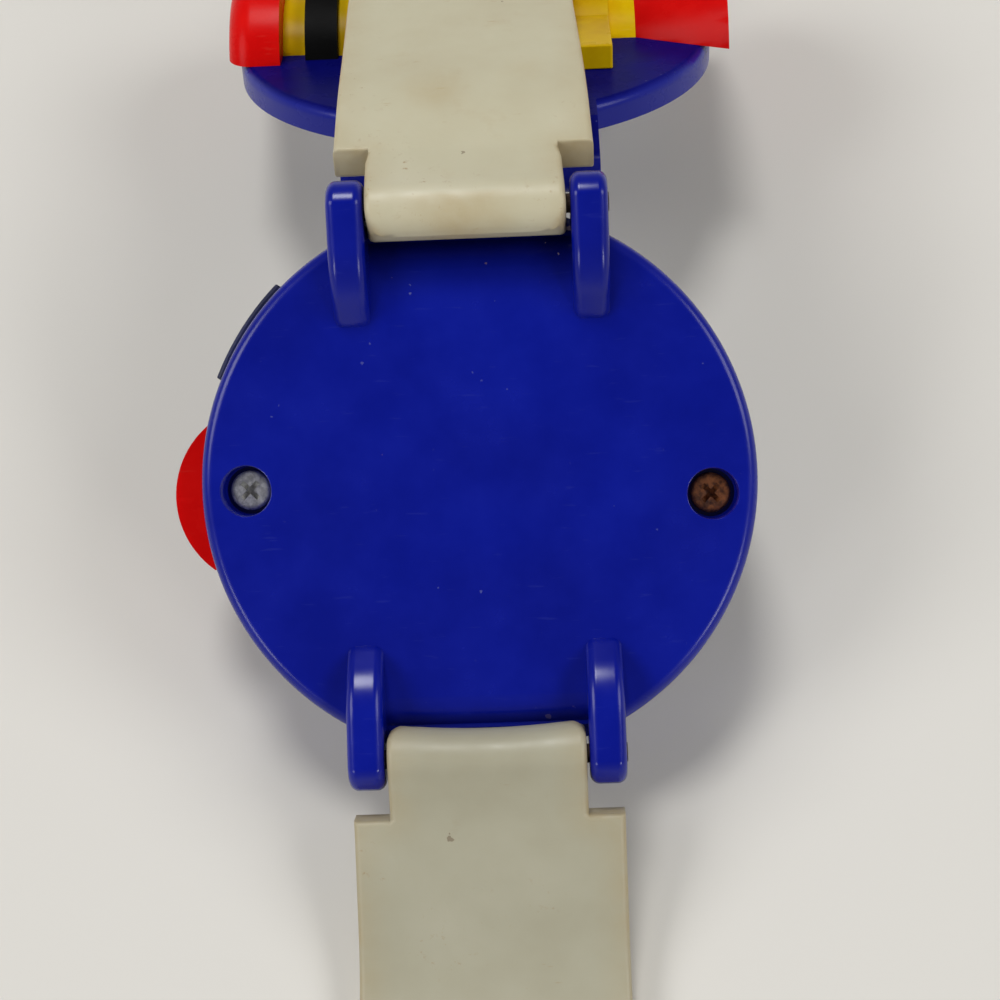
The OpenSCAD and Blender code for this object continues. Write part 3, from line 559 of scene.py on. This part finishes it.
def arc(cx, cy, r, start, end, steps):
    """Points of an arc, from one angle in degrees to another."""
    angles = [math.radians(start + (end - start) * i / steps) for i in range(steps + 1)]
    return [(cx + r * math.cos(a), cy + r * math.sin(a)) for a in angles]


def prism(bm, outline, low, high, axis="X"):
    """An outline drawn out along X or Z; it lies in the other two axes, in order."""
    def at(p, w):
        return (w, *p) if axis == "X" else (*p, w)
    a = [bm.verts.new(at(p, low)) for p in outline]
    b = [bm.verts.new(at(p, high)) for p in outline]
    bm.faces.new(a)
    bm.faces.new(b[::-1])
    n = len(outline)
    for i in range(n):
        j = (i + 1) % n
        bm.faces.new((a[j], a[i], b[i], b[j]))


def wear_layer(bm):
    return bm.verts.layers.float.get("wear") or bm.verts.layers.float.new("wear")


def round_edges(bm, width, steps=3, angle=35):
    """Rounds every edge sharper than the angle, and marks the rounding as worn."""
    bmesh.ops.recalc_face_normals(bm, faces=bm.faces)
    layer = wear_layer(bm)
    closed = [edge for edge in bm.edges if len(edge.link_faces) == 2]
    sharp = [edge for edge in closed if edge.calc_face_angle(0.0) > math.radians(angle)]
    made = bmesh.ops.bevel(
        bm, geom=sharp, offset=width, offset_type="OFFSET", segments=steps,
        profile=0.5, affect="EDGES", clamp_overlap=True,
    )
    for face in made["faces"]:
        for vert in face.verts:
            vert[layer] = 1.0


def join(target, one):
    """Moves the mesh of one into the target."""
    mesh = bpy.data.meshes.new("joined")
    one.to_mesh(mesh)
    one.free()
    target.from_mesh(mesh)
    bpy.data.meshes.remove(mesh)


def cut(name, body_bm, tool_bm, operation="DIFFERENCE"):
    """The exact difference or union of two closed meshes, as a new mesh in work."""
    objects = []
    for part, bm in (("body", body_bm), ("tool", tool_bm)):
        bmesh.ops.recalc_face_normals(bm, faces=bm.faces)
        mesh = bpy.data.meshes.new(name + part)
        bm.to_mesh(mesh)
        bm.free()
        obj = bpy.data.objects.new(name + part, mesh)
        bpy.context.scene.collection.objects.link(obj)
        objects.append(obj)
    body, tool = objects
    work = body.modifiers.new("cut", "BOOLEAN")
    work.operation = operation
    work.solver = "EXACT"
    work.object = tool
    bpy.context.view_layer.update()
    made = bpy.data.meshes.new_from_object(body.evaluated_get(bpy.context.evaluated_depsgraph_get()))
    out = bmesh.new()
    out.from_mesh(made)
    bpy.data.meshes.remove(made)
    for obj in objects:
        mesh = obj.data
        bpy.data.objects.remove(obj)
        bpy.data.meshes.remove(mesh)
    return out


def across_x(x, y, z):
    """Turns a lathe's axis along X, at a place."""
    return Matrix.Translation((x, y, z)) @ Matrix.Rotation(math.pi / 2, 4, "Y")


def clamp(v):
    return max(0.0, min(1.0, v))


# Case back with its lugs, and the screws


def lug_outline():
    """Side of a lug, as points of Y and Z, with a rounded end and a soft ramp."""
    under, over = -70, 84
    crest_share, ramp_share = 0.42, 0.5
    end_steps, bow_steps = 16, 8
    foot = Vector((PIN_Y - RAMP_FOOT, 0.0))
    crest = Vector((PIN_Y - RAMP_TOP, RAMP_H))
    top = Vector((PIN_Y, PIN_Z + LUG_END_R))
    start = crest.lerp(top, crest_share)
    stop = crest.lerp(foot, ramp_share)
    bow = []
    for i in range(bow_steps + 1):
        t = i / bow_steps
        bow.append(tuple(start * (1 - t) ** 2 + crest * (2 * t * (1 - t)) + stop * t * t))
    end = arc(PIN_Y, PIN_Z, LUG_END_R, under, over, end_steps)
    return end + bow + [tuple(foot), (foot.x, -LUG_ROOT), (PIN_Y - LUG_END_R / 2, -LUG_ROOT)]


def back_tools():
    """What is cut from the plate: two strap scoops with eased lips, and two screw recesses."""
    tools = bmesh.new()
    half = LUG_GAP / 2
    edge = PIN_Y - math.sqrt(SCOOP_R ** 2 - PIN_Z ** 2)
    for end in (-1, 1):
        lathe(tools, [(SCOOP_R, -half), (SCOOP_R, half)], BORE_STEPS, across_x(0, end * PIN_Y, PIN_Z))
        lip = bmesh.new()
        prism(lip, [(end * edge + end * out, up) for out, up in SCOOP_LIP], -half, half)
        tools = cut("scoop", tools, lip, "UNION")
    recess = [(RECESS_R, SEAT_Z)] + [(RECESS_R + grow, z) for grow, z in RECESS_MOUTH]
    for spot in SCREWS.values():
        lathe(tools, recess, BORE_STEPS, Matrix.Translation(spot))
    return tools


def build_lug(end, side):
    """One lug with rounded edges, worn at the foot of its ramp."""
    bm = bmesh.new()
    outline = [(end * y, z) for y, z in lug_outline()]
    prism(bm, outline, side * LUG_X - LUG_T / 2, side * LUG_X + LUG_T / 2)
    round_edges(bm, LUG_SOFT, steps=6, angle=30)
    layer = wear_layer(bm)
    for vert in bm.verts:
        foot = clamp((PIN_Y - RAMP_TOP - abs(vert.co.y)) / RAMP_WEAR)
        vert[layer] = max(LUG_EDGE_WEAR * vert[layer], foot)
    return bm


def build_case_back():
    plate = bmesh.new()
    rim = arc(CASE_R - EDGE_R, -EDGE_R, EDGE_R, 0, 90, 8)
    lathe(plate, [(CASE_R - SEAM, -COVER_DEPTH), (CASE_R, -COVER_DEPTH + SEAM)] + rim, RIM_STEPS)
    plate = cut("plate", plate, back_tools())
    lugs = bmesh.new()
    for end in (1, -1):
        for side in (-1, 1):
            join(lugs, build_lug(end, side))
    whole = cut("back", plate, lugs, "UNION")
    add_piece("case_back", whole, STAND, "blue_plastic", "case", ["back_cover"])
    cup = [(0, POST_END), (POST_R, POST_END), (POST_R, -COVER_DEPTH), (POST_BORE_R, -COVER_DEPTH),
           (POST_BORE_R, SEAT_Z), (0, SEAT_Z)]
    for side, spot in SCREWS.items():
        seat = bmesh.new()
        lathe(seat, cup, POST_STEPS, Matrix.Translation(spot))
        add_piece("screw_post_" + side, seat, STAND, "blue_plastic", "case")


def cross_arm(turn):
    """One tapered arm of the cross in a screw's head."""
    bm = bmesh.new()
    right = [(CROSS_FOOT, CROSS_DEEP), (CROSS_HALF, CROSS_EDGE), (CROSS_HALF, CROSS_TOP)]
    prism(bm, [(-x, z) for x, z in reversed(right)] + right, -CROSS_W / 2, CROSS_W / 2)
    bm.transform(Matrix.Rotation(math.radians(turn), 4, "Z"))
    return bm


def build_screw(side, slot):
    """A cross-head screw on its seat."""
    name = "screw_" + side
    head = bmesh.new()
    narrow, short = SHANK_CUT
    shank = [(0, SHANK_END), (SHANK_R - narrow, SHANK_END), (SHANK_R, SHANK_END + short), (SHANK_R, 0)]
    dome = []
    for i in range(DOME_STEPS + 1):
        a = math.pi / 2 / DOME_STEPS * i
        dome.append((HEAD_R - HEAD_ROUND + HEAD_ROUND * math.cos(a), HEAD_ROUND + HEAD_RISE * math.sin(a)))
    crown = [(HEAD_CROWN_R, HEAD_H - HEAD_CROWN), (0, HEAD_H)]
    lathe(head, shank + [(HEAD_R, 0), (HEAD_R, HEAD_SIDE)] + dome + crown, HEAD_STEPS)
    first, second = (cross_arm(turn) for turn in CROSS_TURNS)
    head = cut(name, head, cut("cross", first, second, "UNION"))
    place = STAND @ Matrix.Translation(SCREWS[side] + Vector((0, 0, SEAT_Z)))
    add_piece(name, head, place, slot, "case", ["case_screw_" + side], smooth=32)


# Straps


def walk(pin, fall, outward, parts):
    """Centre line of a strap, as a function of length and height above it, and its whole length.

    The angle of fall is at the pin. Parts are straight runs, or bends of radius and angle.
    """
    y, z, a, s = pin.y, pin.z, fall, 0.0
    marks = []
    for part in parts:
        if isinstance(part, tuple):
            radius, angle = part
            marks.append((s, y, z, a, radius, angle))
            k = math.copysign(1, angle)
            y += outward * k * radius * (math.sin(a + angle) - math.sin(a))
            z += k * radius * (math.cos(a + angle) - math.cos(a))
            a += angle
            s += radius * abs(angle)
        else:
            marks.append((s, y, z, a, None, 0.0))
            y += outward * part * math.cos(a)
            z -= part * math.sin(a)
            s += part

    def at(where, up):
        mark = marks[0]
        for other in marks:
            if other[0] <= where:
                mark = other
        s0, y0, z0, a0, radius, angle = mark
        run = where - s0
        if radius is None:
            yy = y0 + outward * run * math.cos(a0)
            zz = z0 - run * math.sin(a0)
            aa = a0
        else:
            k = math.copysign(1, angle)
            aa = a0 + k * run / radius
            yy = y0 + outward * k * radius * (math.sin(aa) - math.sin(a0))
            zz = z0 + k * radius * (math.cos(aa) - math.cos(a0))
        return Vector((0, yy + outward * up * math.sin(aa), zz + up * math.cos(aa)))

    return at, s


def barrel(s, shoulder):
    """Heights of a strap's two faces near its pin: a roll, blending into the flat strip."""
    flat = STRAP_T / 2
    roll = 0.0
    if s < BARREL_R:
        reach = ROLL_BACK if s < 0 else BARREL_R
        roll = math.sqrt(max(1 - (s / reach) ** 2, 0)) * BARREL_R
    if s <= 0:
        return roll, -min(roll, math.sqrt(max(BARREL_R ** 2 - s * s, 0.04)))
    run = s / shoulder
    knee = 0.6
    fall = 1 - run if run < knee else max(2 - knee - run, 0) ** 2 / (4 * (1 - knee))
    return max(roll, flat + (BARREL_R - flat) * fall), -max(roll, flat)


def turned(angles, trig):
    return [trig(math.radians(angle)) for angle in angles]


# Grid of a strap: columns in from an edge, lines across the roll, and turns of the roll, tip and end
EDGE_STEPS = (0.0, 0.05, 0.15, 0.3, STRAP_SOFT)
WING_COLUMN = -8.9
TAB_COLUMNS = [-6.2, -5, -4, -3, -2, -1, 0]
ROOT_ROWS = [0.5, 1.0, 1.6, 2.2, 2.8, 3.4, 4.0]
ROLL_TURNS = (5, 11, 18, 27, 37, 48, 59, 70, 80, 90)
TIP_TURNS = (8, 16, 24, 33, 42, 51, 60, 68, 75, 80, 84, 87)
END_TURNS = (15, 30, 45, 60, 75)
ROW_START = 1.2
ROW_PITCH = 0.9
ROW_GAP = 0.3
# Length over which a rolled end swells
END_SWELL = 2.6


def strap_columns():
    half = STRAP_W / 2
    left = [-half + d for d in EDGE_STEPS] + [WING_COLUMN] + [-TAB_HALF + d for d in EDGE_STEPS] + TAB_COLUMNS
    return left + [-x for x in left[-2::-1]]


def strap_rows(length, shoulder, tip_r, end_r, holes):
    """Lengths at which a strap has a line of points, with finer ones at its roll, shoulder, holes and tip."""
    rows = [-ROLL_BACK * v for v in turned(ROLL_TURNS, math.cos)] + ROOT_ROWS
    rows += [shoulder + d for d in EDGE_STEPS]
    body_end = length - tip_r
    marks = sorted({round(h + k, 4) for h in holes for k in range(-HOLE_CELL, HOLE_CELL + 1)})
    s = shoulder + ROW_START
    while s < body_end - ROW_GAP:
        if not (marks and marks[0] - 0.5 < s < marks[-1] + 0.5):
            rows.append(s)
        s += ROW_PITCH
    rows += [m for m in marks if m < body_end]
    rows += [(low + high) / 2 for low, high in zip(marks, marks[1:]) if high - low > 1.5]
    rows.append(body_end)
    if tip_r:
        rows += [body_end + tip_r * v for v in turned(TIP_TURNS, math.sin)]
    elif end_r:
        rows += [length + end_r * v for v in turned(END_TURNS, math.sin)]
    return sorted(rows)


def skin(bm, grid, rows, xs, holes):
    """Faces over a strap's grid, top and underside, with walls at its edges and gaps at its holes."""
    def holed(i, j):
        mid = (rows[i] + rows[i + 1]) / 2
        beside = -HOLE_CELL < (xs[j] + xs[j + 1]) / 2 < HOLE_CELL
        return beside and any(abs(mid - h) < HOLE_CELL for h in holes)

    corners = ((0, 0), (0, 1), (1, 1), (1, 0))
    spots = {(i, j) for i in range(len(rows) - 1) for j in range(len(xs) - 1)}
    gaps = {spot for spot in spots if holed(*spot)}
    cells = {(i, j) for i, j in spots - gaps if all((i + a, j + b, 1) in grid for a, b in corners)}
    sides = (((-1, 0), 0, 1), ((1, 0), 2, 3), ((0, -1), 3, 0), ((0, 1), 1, 2))
    for i, j in sorted(cells):
        ring = [(i + a, j + b) for a, b in corners]
        bm.faces.new([grid[(*p, 1)] for p in ring])
        bm.faces.new([grid[(*p, 0)] for p in (ring[3], ring[2], ring[1], ring[0])])
        for (di, dj), first, second in sides:
            if (i + di, j + dj) in cells | gaps:
                continue
            p, q = ring[first], ring[second]
            bm.faces.new([grid[(*p, 0)], grid[(*q, 0)], grid[(*q, 1)], grid[(*p, 1)]])


def punch(bm, grid, rows, xs, at, hole):
    """A round hole with rounded mouths in the square gap that the skin left."""
    near = 0.01
    ring = []
    for i, s in enumerate(rows):
        for j, x in enumerate(xs):
            reach = max(abs(s - hole), abs(x))
            if abs(reach - HOLE_CELL) < near:
                ring.append((i, j))
    ring.sort(key=lambda c: math.atan2(rows[c[0]] - hole, xs[c[1]]))
    turns = [math.atan2(rows[i] - hole, xs[j]) for i, j in ring]
    mouth = [(HOLE_R + grow, STRAP_T / 2 - sink) for grow, sink in HOLE_MOUTH]
    bands = [[grid[(*c, 1)] for c in ring]]
    for r, up in mouth + [(r, -up) for r, up in reversed(mouth)]:
        points = [(r * math.cos(t), at(hole + r * math.sin(t), up)) for t in turns]
        bands.append([bm.verts.new((x, p.y, p.z)) for x, p in points])
    bands.append([grid[(*c, 0)] for c in ring])
    for above, below in zip(bands, bands[1:]):
        for a in range(len(ring)):
            b = (a + 1) % len(ring)
            bm.faces.new((above[a], above[b], below[b], below[a]))


def build_strap(name, at, length, body, replaced, shoulder, tip_r=0.0, end_r=0.0, holes=(), dip=0.0,
                slant=0.0, lean=0.0, taper=(0.0, 0.0), shift=0.0, smudge=0.0, spots=(), look=None):
    """A soft strap with a rolled root on its pin, shoulders and rounded edges.

    The dip hollows the back of the roll, and the slant tips the shoulders' top edge. Lean and shift set the
    strap aside, and taper narrows it. The smudge is the wear on the roll, and the spots are worn places:
    length, X, radius and depth.
    """
    half = STRAP_W / 2
    flat = STRAP_T / 2
    xs = strap_columns()
    rows = strap_rows(length, shoulder, tip_r, end_r, holes)
    tip_start = length - tip_r

    def half_at(s):
        """Half the width at a length."""
        if s < shoulder - TINY:
            far = max(-s - (ROLL_BACK - TAB_CORNER), 0)
            return TAB_HALF - TAB_CORNER * (1 - math.sqrt(max(1 - (far / TAB_CORNER) ** 2, 0)))
        if tip_r and s > tip_start:
            return min(half, math.sqrt(max(tip_r ** 2 - (s - tip_start) ** 2, 0)))
        return half

    def depth(s):
        """Heights of the two faces at a length."""
        if not end_r or s <= length - END_SWELL:
            return barrel(s, shoulder)
        if s > length:
            rise = math.sqrt(max(end_r ** 2 - (s - length) ** 2, 0.01))
        else:
            swell = 0.5 - 0.5 * math.cos(math.pi * (s - length + END_SWELL) / END_SWELL)
            rise = flat + (end_r - flat) * swell
        return rise, -rise

    def inset(s, x, wide):
        """Distance of a point from the nearest edge, in plan."""
        if s < shoulder - TINY:
            return TAB_HALF - abs(x)
        side = wide - abs(x) * min(1.0, wide / half)
        if tip_r and s > tip_start:
            side = min(side, tip_r - math.hypot(s - tip_start, x * wide / half))
        if abs(x) > TAB_HALF - TINY:
            return min(side, s - shoulder)
        return min(side, math.hypot(TAB_HALF - abs(x), s - shoulder))

    def wear_at(s, x, near):
        """Wear along the edges, on the back of the roll and in spots."""
        wear = max(0.0, 1 - near / EDGE_WEAR, SIDE_WEAR - near / SIDE_WEAR_RUN)
        if s < SMUDGE_START:
            wear = max(wear, smudge * (1 - abs(x - SMUDGE_X) / SMUDGE_HALF))
        for where, across, size, deep in spots:
            wear = max(wear, deep * (1 - math.hypot(s - where, x - across) / size))
        return wear

    bm = bmesh.new()
    layer = wear_layer(bm)
    grid = {}
    for i, s in enumerate(rows):
        on_tab = s < shoulder - TINY
        wide = half_at(s)
        top, low = depth(s)
        ease = clamp((s - shoulder) / LEAN_RUN)
        narrow = 1.0 if on_tab else 1 - (taper[0] + (taper[1] - taper[0]) * ease) / half
        aside = shift * (ROOT_SHIFT + (1 - ROOT_SHIFT) * clamp((s + ROLL_BACK) / (shoulder + ROLL_BACK)))
        aside += lean * (0.3 * ease + 0.7 * ease * ease) * (1 - clamp((s - LEAN_END) / LEAN_FADE) ** 2)
        for j, x in enumerate(xs):
            inside = abs(x) <= TAB_HALF + TINY
            if on_tab and not inside:
                continue
            xx = x * wide / (TAB_HALF if on_tab else half)
            if inside:
                xx *= 1 - ROOT_SHIFT * abs(shift) / TAB_HALF
            near = max(inset(s, x, wide), 0.0)
            drop = STRAP_SOFT - math.sqrt(STRAP_SOFT ** 2 - (STRAP_SOFT - min(near, STRAP_SOFT)) ** 2)
            drop = min(drop, SOFT_SHARE * (top - low))
            place = s
            if s < 0:
                place += dip * (1 - (xx / TAB_HALF) ** 2) * min(1, -s / ROLL_BACK)
            on_wing = abs(x) > TAB_HALF - TINY and not on_tab
            tipped = slant * max(0.0, 1 - (s - shoulder) / SLANT_RUN) if on_wing else 0.0
            for k, where, up in ((1, place + tipped, top - drop), (0, place, low + drop)):
                p = at(where, up)
                vert = bm.verts.new((xx * narrow + aside, p.y, p.z))
                vert[layer] = wear_at(s, x, near)
                grid[i, j, k] = vert
    skin(bm, grid, rows, xs, holes)
    for hole in holes:
        punch(bm, grid, rows, xs, at, hole)
    add_piece(name, bm, Matrix.Identity(4), "strap_vinyl", body, replaced, smooth=50, look=look)


UPPER_PIN = STAND @ Vector((0, PIN_Y, PIN_Z))
LOWER_PIN = STAND @ Vector((0, -PIN_Y, PIN_Z))
FLAT_Z = FLOOR_Z + STRAP_T / 2 + KEEPER_GAP + KEEPER_WALL
SLOPE_1 = UPPER_DROP - TILT
SLOPE_2 = SLOPE_1 + UPPER_BEND
SLOPE_3 = SLOPE_2 + FALL_BEND
UPPER_FALL = (
    UPPER_PIN.z - FLAT_Z
    - UPPER_ROOT * math.sin(SLOPE_1)
    - UPPER_BEND_R * (math.cos(SLOPE_1) - math.cos(SLOPE_2))
    - UPPER_RUN * math.sin(SLOPE_2)
    - FALL_BEND_R * (math.cos(SLOPE_2) - math.cos(SLOPE_3))
    - FLAT_BEND_R * (1 - math.cos(SLOPE_3))
)
UPPER_PARTS = [
    UPPER_ROOT, (UPPER_BEND_R, UPPER_BEND), UPPER_RUN, (FALL_BEND_R, FALL_BEND),
    UPPER_FALL / math.sin(SLOPE_3), (FLAT_BEND_R, -SLOPE_3), FLAT_RUN,
]
LOWER_FALL = LOWER_PIN.z - FLOOR_Z - STRAP_T / 2 - LOWER_BEND_R * (1 - math.cos(TILT))
LOWER_RUN = LOWER_FALL / math.sin(TILT)
LOWER_PARTS = [LOWER_RUN, (LOWER_BEND_R, -TILT), LOWER_LEN - LOWER_RUN - LOWER_BEND_R * TILT]
upper_at, upper_len = walk(UPPER_PIN, SLOPE_1, 1, UPPER_PARTS)
lower_at, lower_len = walk(LOWER_PIN, TILT, -1, LOWER_PARTS)
BUCKLE = upper_at(upper_len, 0)


# Keeper and buckle


def build_keeper():
    """The loop that holds the free end of the other strap."""
    bm = bmesh.new()
    wide = STRAP_W / 2 + KEEPER_GAP
    floor = -STRAP_T / 2 - KEEPER_GAP

    def loop(grow, r):
        w, low, high = wide + grow - r, floor - grow + r, KEEPER_HIGH + grow - r
        centres = ((w, high), (-w, high), (-w, low), (w, low))
        return [p for i, (x, z) in enumerate(centres) for p in arc(x, z, r, 90 * i, 90 * i + 90, 5)]

    loops = (loop(KEEPER_WALL, KEEPER_R), loop(0, KEEPER_INNER_R))
    ends = []
    for y in (-KEEPER_L / 2, KEEPER_L / 2):
        ends.append([[bm.verts.new((x, y, z)) for x, z in points] for points in loops])
    (o1, i1), (o2, i2) = ends
    for i in range(len(o1)):
        j = (i + 1) % len(o1)
        bm.faces.new((o1[i], o1[j], o2[j], o2[i]))
        bm.faces.new((i1[j], i1[i], i2[i], i2[j]))
        bm.faces.new((o1[j], o1[i], i1[i], i1[j]))
        bm.faces.new((o2[i], o2[j], i2[j], i2[i]))
    round_edges(bm, KEEPER_SOFT, angle=50)
    place = Matrix.Translation(BUCKLE + Vector((0, -KEEPER_BACK, 0)))
    add_piece("keeper_loop", bm, place, "strap_vinyl", "keeper", ["strap_keeper"], smooth=45)


def build_buckle():
    """A pressed buckle frame with an eye at each end of its pin."""
    bm = bmesh.new()
    inside = STRAP_W / 2 + BUCKLE_GAP
    outside = inside + BUCKLE_BAR

    def bow(half, reach, r, steps):
        """A bow with rounded corners, from one side of the frame to the other."""
        right = arc(half - r, reach - r, r, 0, 90, steps)
        left = arc(r - half, reach - r, r, 90, 180, steps)
        return [(half, 0.0)] + right + left + [(-half, 0.0)]

    outer = bow(outside, BUCKLE_REACH, BUCKLE_CORNER, 6)
    inner = bow(inside, BUCKLE_REACH - BUCKLE_BAR, BUCKLE_INNER_CORNER, 4)
    prism(bm, outer + inner[::-1], -BUCKLE_T / 2, BUCKLE_T / 2, "Z")
    round_edges(bm, BUCKLE_SOFT, steps=4, angle=50)
    profile = [(r, -z) for r, z in reversed(EYE_PROFILE)] + EYE_PROFILE
    for side in (-1, 1):
        eye = bmesh.new()
        lathe(eye, profile, EYE_STEPS, across_x(side * (inside + BUCKLE_BAR / 2), 0, 0))
        bm = cut("buckle", bm, eye, "UNION")
    add_piece("buckle", bm, Matrix.Translation(BUCKLE), "steel", "buckle", ["buckle_frame"])


def build_tongue():
    """The buckle's tongue, curled around the pin and reaching under the frame."""
    bm = bmesh.new()
    top, low, reach = TONGUE_TOP, TONGUE_LOW, BUCKLE_REACH
    curl = arc(0, 0, EYE_R, 60, 235, 14)
    tip = [(0.2, low), (reach - 0.8, low), (reach - 0.3, low + 0.12), (reach, low + 0.45),
           (reach - 0.3, top - 0.1), (reach - 0.8, top)]
    prism(bm, curl + tip + [(2.2, top), (1.7, top + 0.12), (1.45, 0.4)], -TONGUE_W / 2, TONGUE_W / 2)
    round_edges(bm, TONGUE_SOFT)
    add_piece("tongue_wire", bm, Matrix.Translation(BUCKLE), "steel", "tongue", ["buckle_tongue"])


# Display digits

DIGIT_W = 2.3
DIGIT_H = 4.6
BAR_T = 0.55
BAR_GAP = 0.32
DIGIT_PLACES = (-6.4, -2.7, 2.7, 6.4)
DIGIT_Z = (-7.53, -7.49)
COLON_Y = 1.1
COLON_R = 0.42
# Bars of a digit: middle in X and Y, in halves of its width and height, and whether the bar lies across
BARS = {"a": (0, 1, True), "g": (0, 0, True), "d": (0, -1, True), "b": (1, 0.5, False), "c": (1, -0.5, False),
        "f": (-1, 0.5, False), "e": (-1, -0.5, False)}
DIGIT_BARS = {"1": "bc", "2": "abged", "0": "abcdef"}


def build_digits():
    """Bar digits of a clock display, on the panel behind the window."""
    bm = bmesh.new()
    nib = BAR_T / 2
    for digit, mid in zip("1200", DIGIT_PLACES):
        for key in DIGIT_BARS[digit]:
            column, row, lying = BARS[key]
            x = -(mid + column * DIGIT_W / 2)
            y = row * DIGIT_H / 2
            long = 0.5 * (DIGIT_W if lying else DIGIT_H / 2) - BAR_GAP
            flank = long - nib
            bar = [(-long, 0), (-flank, nib), (flank, nib), (long, 0), (flank, -nib), (-flank, -nib)]
            if lying:
                outline = [(x + a, y + b) for a, b in bar]
            else:
                outline = [(x + b, y + a) for a, b in bar]
            prism(bm, outline, *DIGIT_Z, "Z")
    for y in (-COLON_Y, COLON_Y):
        prism(bm, arc(0, y, COLON_R, 0, 330, 11), *DIGIT_Z, "Z")
    add_piece("display_digits", bm, STAND, "elastomer", "case")


build_case_back()
build_screw("left", "screw_steel")
build_screw("right", "rusty_steel")
build_strap("strap_top", upper_at, upper_len, "strap_upper", ["strap_upper"], shoulder=5.0, end_r=1.6,
            slant=0.5, lean=-0.5, taper=(0.3, 0.7), shift=-0.3, smudge=0.9,
            spots=[(12.4, -2.4, 3.2, 0.8), (15.0, 5.5, 2.4, 0.4)])
# The lower strap takes the darker copy of the vinyl, as painted shade.
build_strap("strap_bottom", lower_at, lower_len, "strap_lower", ["strap_lower"], shoulder=4.5, tip_r=11.66,
            holes=[lower_len - HOLE_FIRST - HOLE_PITCH * i for i in range(HOLE_COUNT)], dip=0.5, slant=0.1,
            look="lower_vinyl")
build_keeper()
build_buckle()
build_tongue()
build_digits()

# The CAD nodes that stay in view, with their edges softened

SOFTENED = {
    "case_shell": 0.2, "release_button": 0.35, "set_key": 0.25, "lid_shell": 0.25,
    "rocket_nose": 0.3, "rocket_collar": 0.3, "rocket_band": 0.35, "rocket_body": 0.3, "rocket_fins": 0.3,
    "rocket_porthole": 0.15, "rocket_lens": 0.1, "rocket_neck": 0.3, "rocket_tail": 0.35,
}
SOFT_STEPS = 3
SOFT_ANGLE = math.radians(40)
slots = {row["node"]: row["material_slot"] for row in frame["record"]["subparts"]}
for name, obj in frame["nodes"].items():
    if obj.hide_render:
        continue
    obj.data.materials.clear()
    # The lid takes its darker copy of the blue, with painted shade and a painted rim highlight.
    obj.data.materials.append(LOOKS["lid_plastic" if name == "lid_shell" else slots[name]])
    if name in SOFTENED:
        weld = obj.modifiers.new("weld", "WELD")
        weld.merge_threshold = TINY
        soft = obj.modifiers.new("soft", "BEVEL")
        soft.width = SOFTENED[name] * MM
        soft.segments = SOFT_STEPS
        soft.limit_method = "ANGLE"
        soft.angle_limit = SOFT_ANGLE
        keep_flats(obj)

# Stage and light

FLOOR_HALF = 20
FLOOR_TINT = srgb(216, 213, 206)
# Light of the studio from the horizon up to the top
STUDIO = [
    (0.0, srgb(220, 217, 209)), (0.04, grey(0.56)), (0.14, grey(0.38)), (0.4, grey(0.23)), (1.0, grey(0.07)),
]
# Name, place that it shines from, power and spread in degrees
LAMPS = (
    ("key", (-0.1, 0.36, 0.76), 1.15, 16),
    ("left", (-0.62, -0.04, 0.56), 1.05, 28),
    ("right", (0.62, -0.04, 0.56), 0.9, 28),
    ("low_left", (-0.6, -0.65, 0.46), 0.45, 14),
    ("low_right", (0.6, -0.65, 0.46), 0.5, 14),
)

scene = bpy.context.scene
floor_mesh = bpy.data.meshes.new("floor")
floor_corners = ((-1, -1), (1, -1), (1, 1), (-1, 1))
floor_points = [(x * FLOOR_HALF, y * FLOOR_HALF, FLOOR_Z * MM) for x, y in floor_corners]
floor_mesh.from_pydata(floor_points, [], [(0, 1, 2, 3)])
floor = bpy.data.objects.new("floor", floor_mesh)
scene.collection.objects.link(floor)
floor_mat, floor_tree, floor_bsdf = new_material("floor")
fill(floor_tree, floor_bsdf, Base_Color=FLOOR_TINT, Roughness=0.9)
floor_mesh.materials.append(floor_mat)

world = bpy.data.worlds.new("world")
world.use_nodes = True
sky = world.node_tree
height = node(sky, "ShaderNodeSeparateXYZ", Vector=coords(sky, "Generated")).outputs["Z"]
fill(sky, sky.nodes["Background"], Color=ramp(sky, height, STUDIO))
scene.world = world

for name, place, power, spread in LAMPS:
    lamp = bpy.data.lights.new(name, "SUN")
    lamp.energy = power
    lamp.angle = math.radians(spread)
    holder = bpy.data.objects.new(name, lamp)
    holder.location = place
    holder.rotation_euler = (-Vector(place)).to_track_quat("-Z", "Y").to_euler()
    scene.collection.objects.link(holder)

# Camera that matches the photograph: focal length in pixels, and turn and place of the case before it

PHOTO_PX = 1000
FOCAL_PX = 1742.06
SENSOR = 36.0
CLIP_START = 0.005
CASE_TURN = Vector((0.037146, -0.029836, 0.036273))
CASE_PLACE = Vector((-1.712, 1.350, -136.872))

camera_data = bpy.data.cameras.new("camera")
camera_data.sensor_width = SENSOR
camera_data.lens = SENSOR * FOCAL_PX / PHOTO_PX
camera_data.clip_start = CLIP_START
camera = bpy.data.objects.new("camera", camera_data)
back = Matrix.Rotation(CASE_TURN.length, 3, CASE_TURN.normalized()).transposed()
eye = -(back @ CASE_PLACE)
camera.matrix_world = Matrix.Translation((STAND @ eye) * MM) @ (STAND.to_3x3() @ back).to_4x4()
scene.collection.objects.link(camera)
scene.camera = camera
scene.view_settings.view_transform = "Standard"
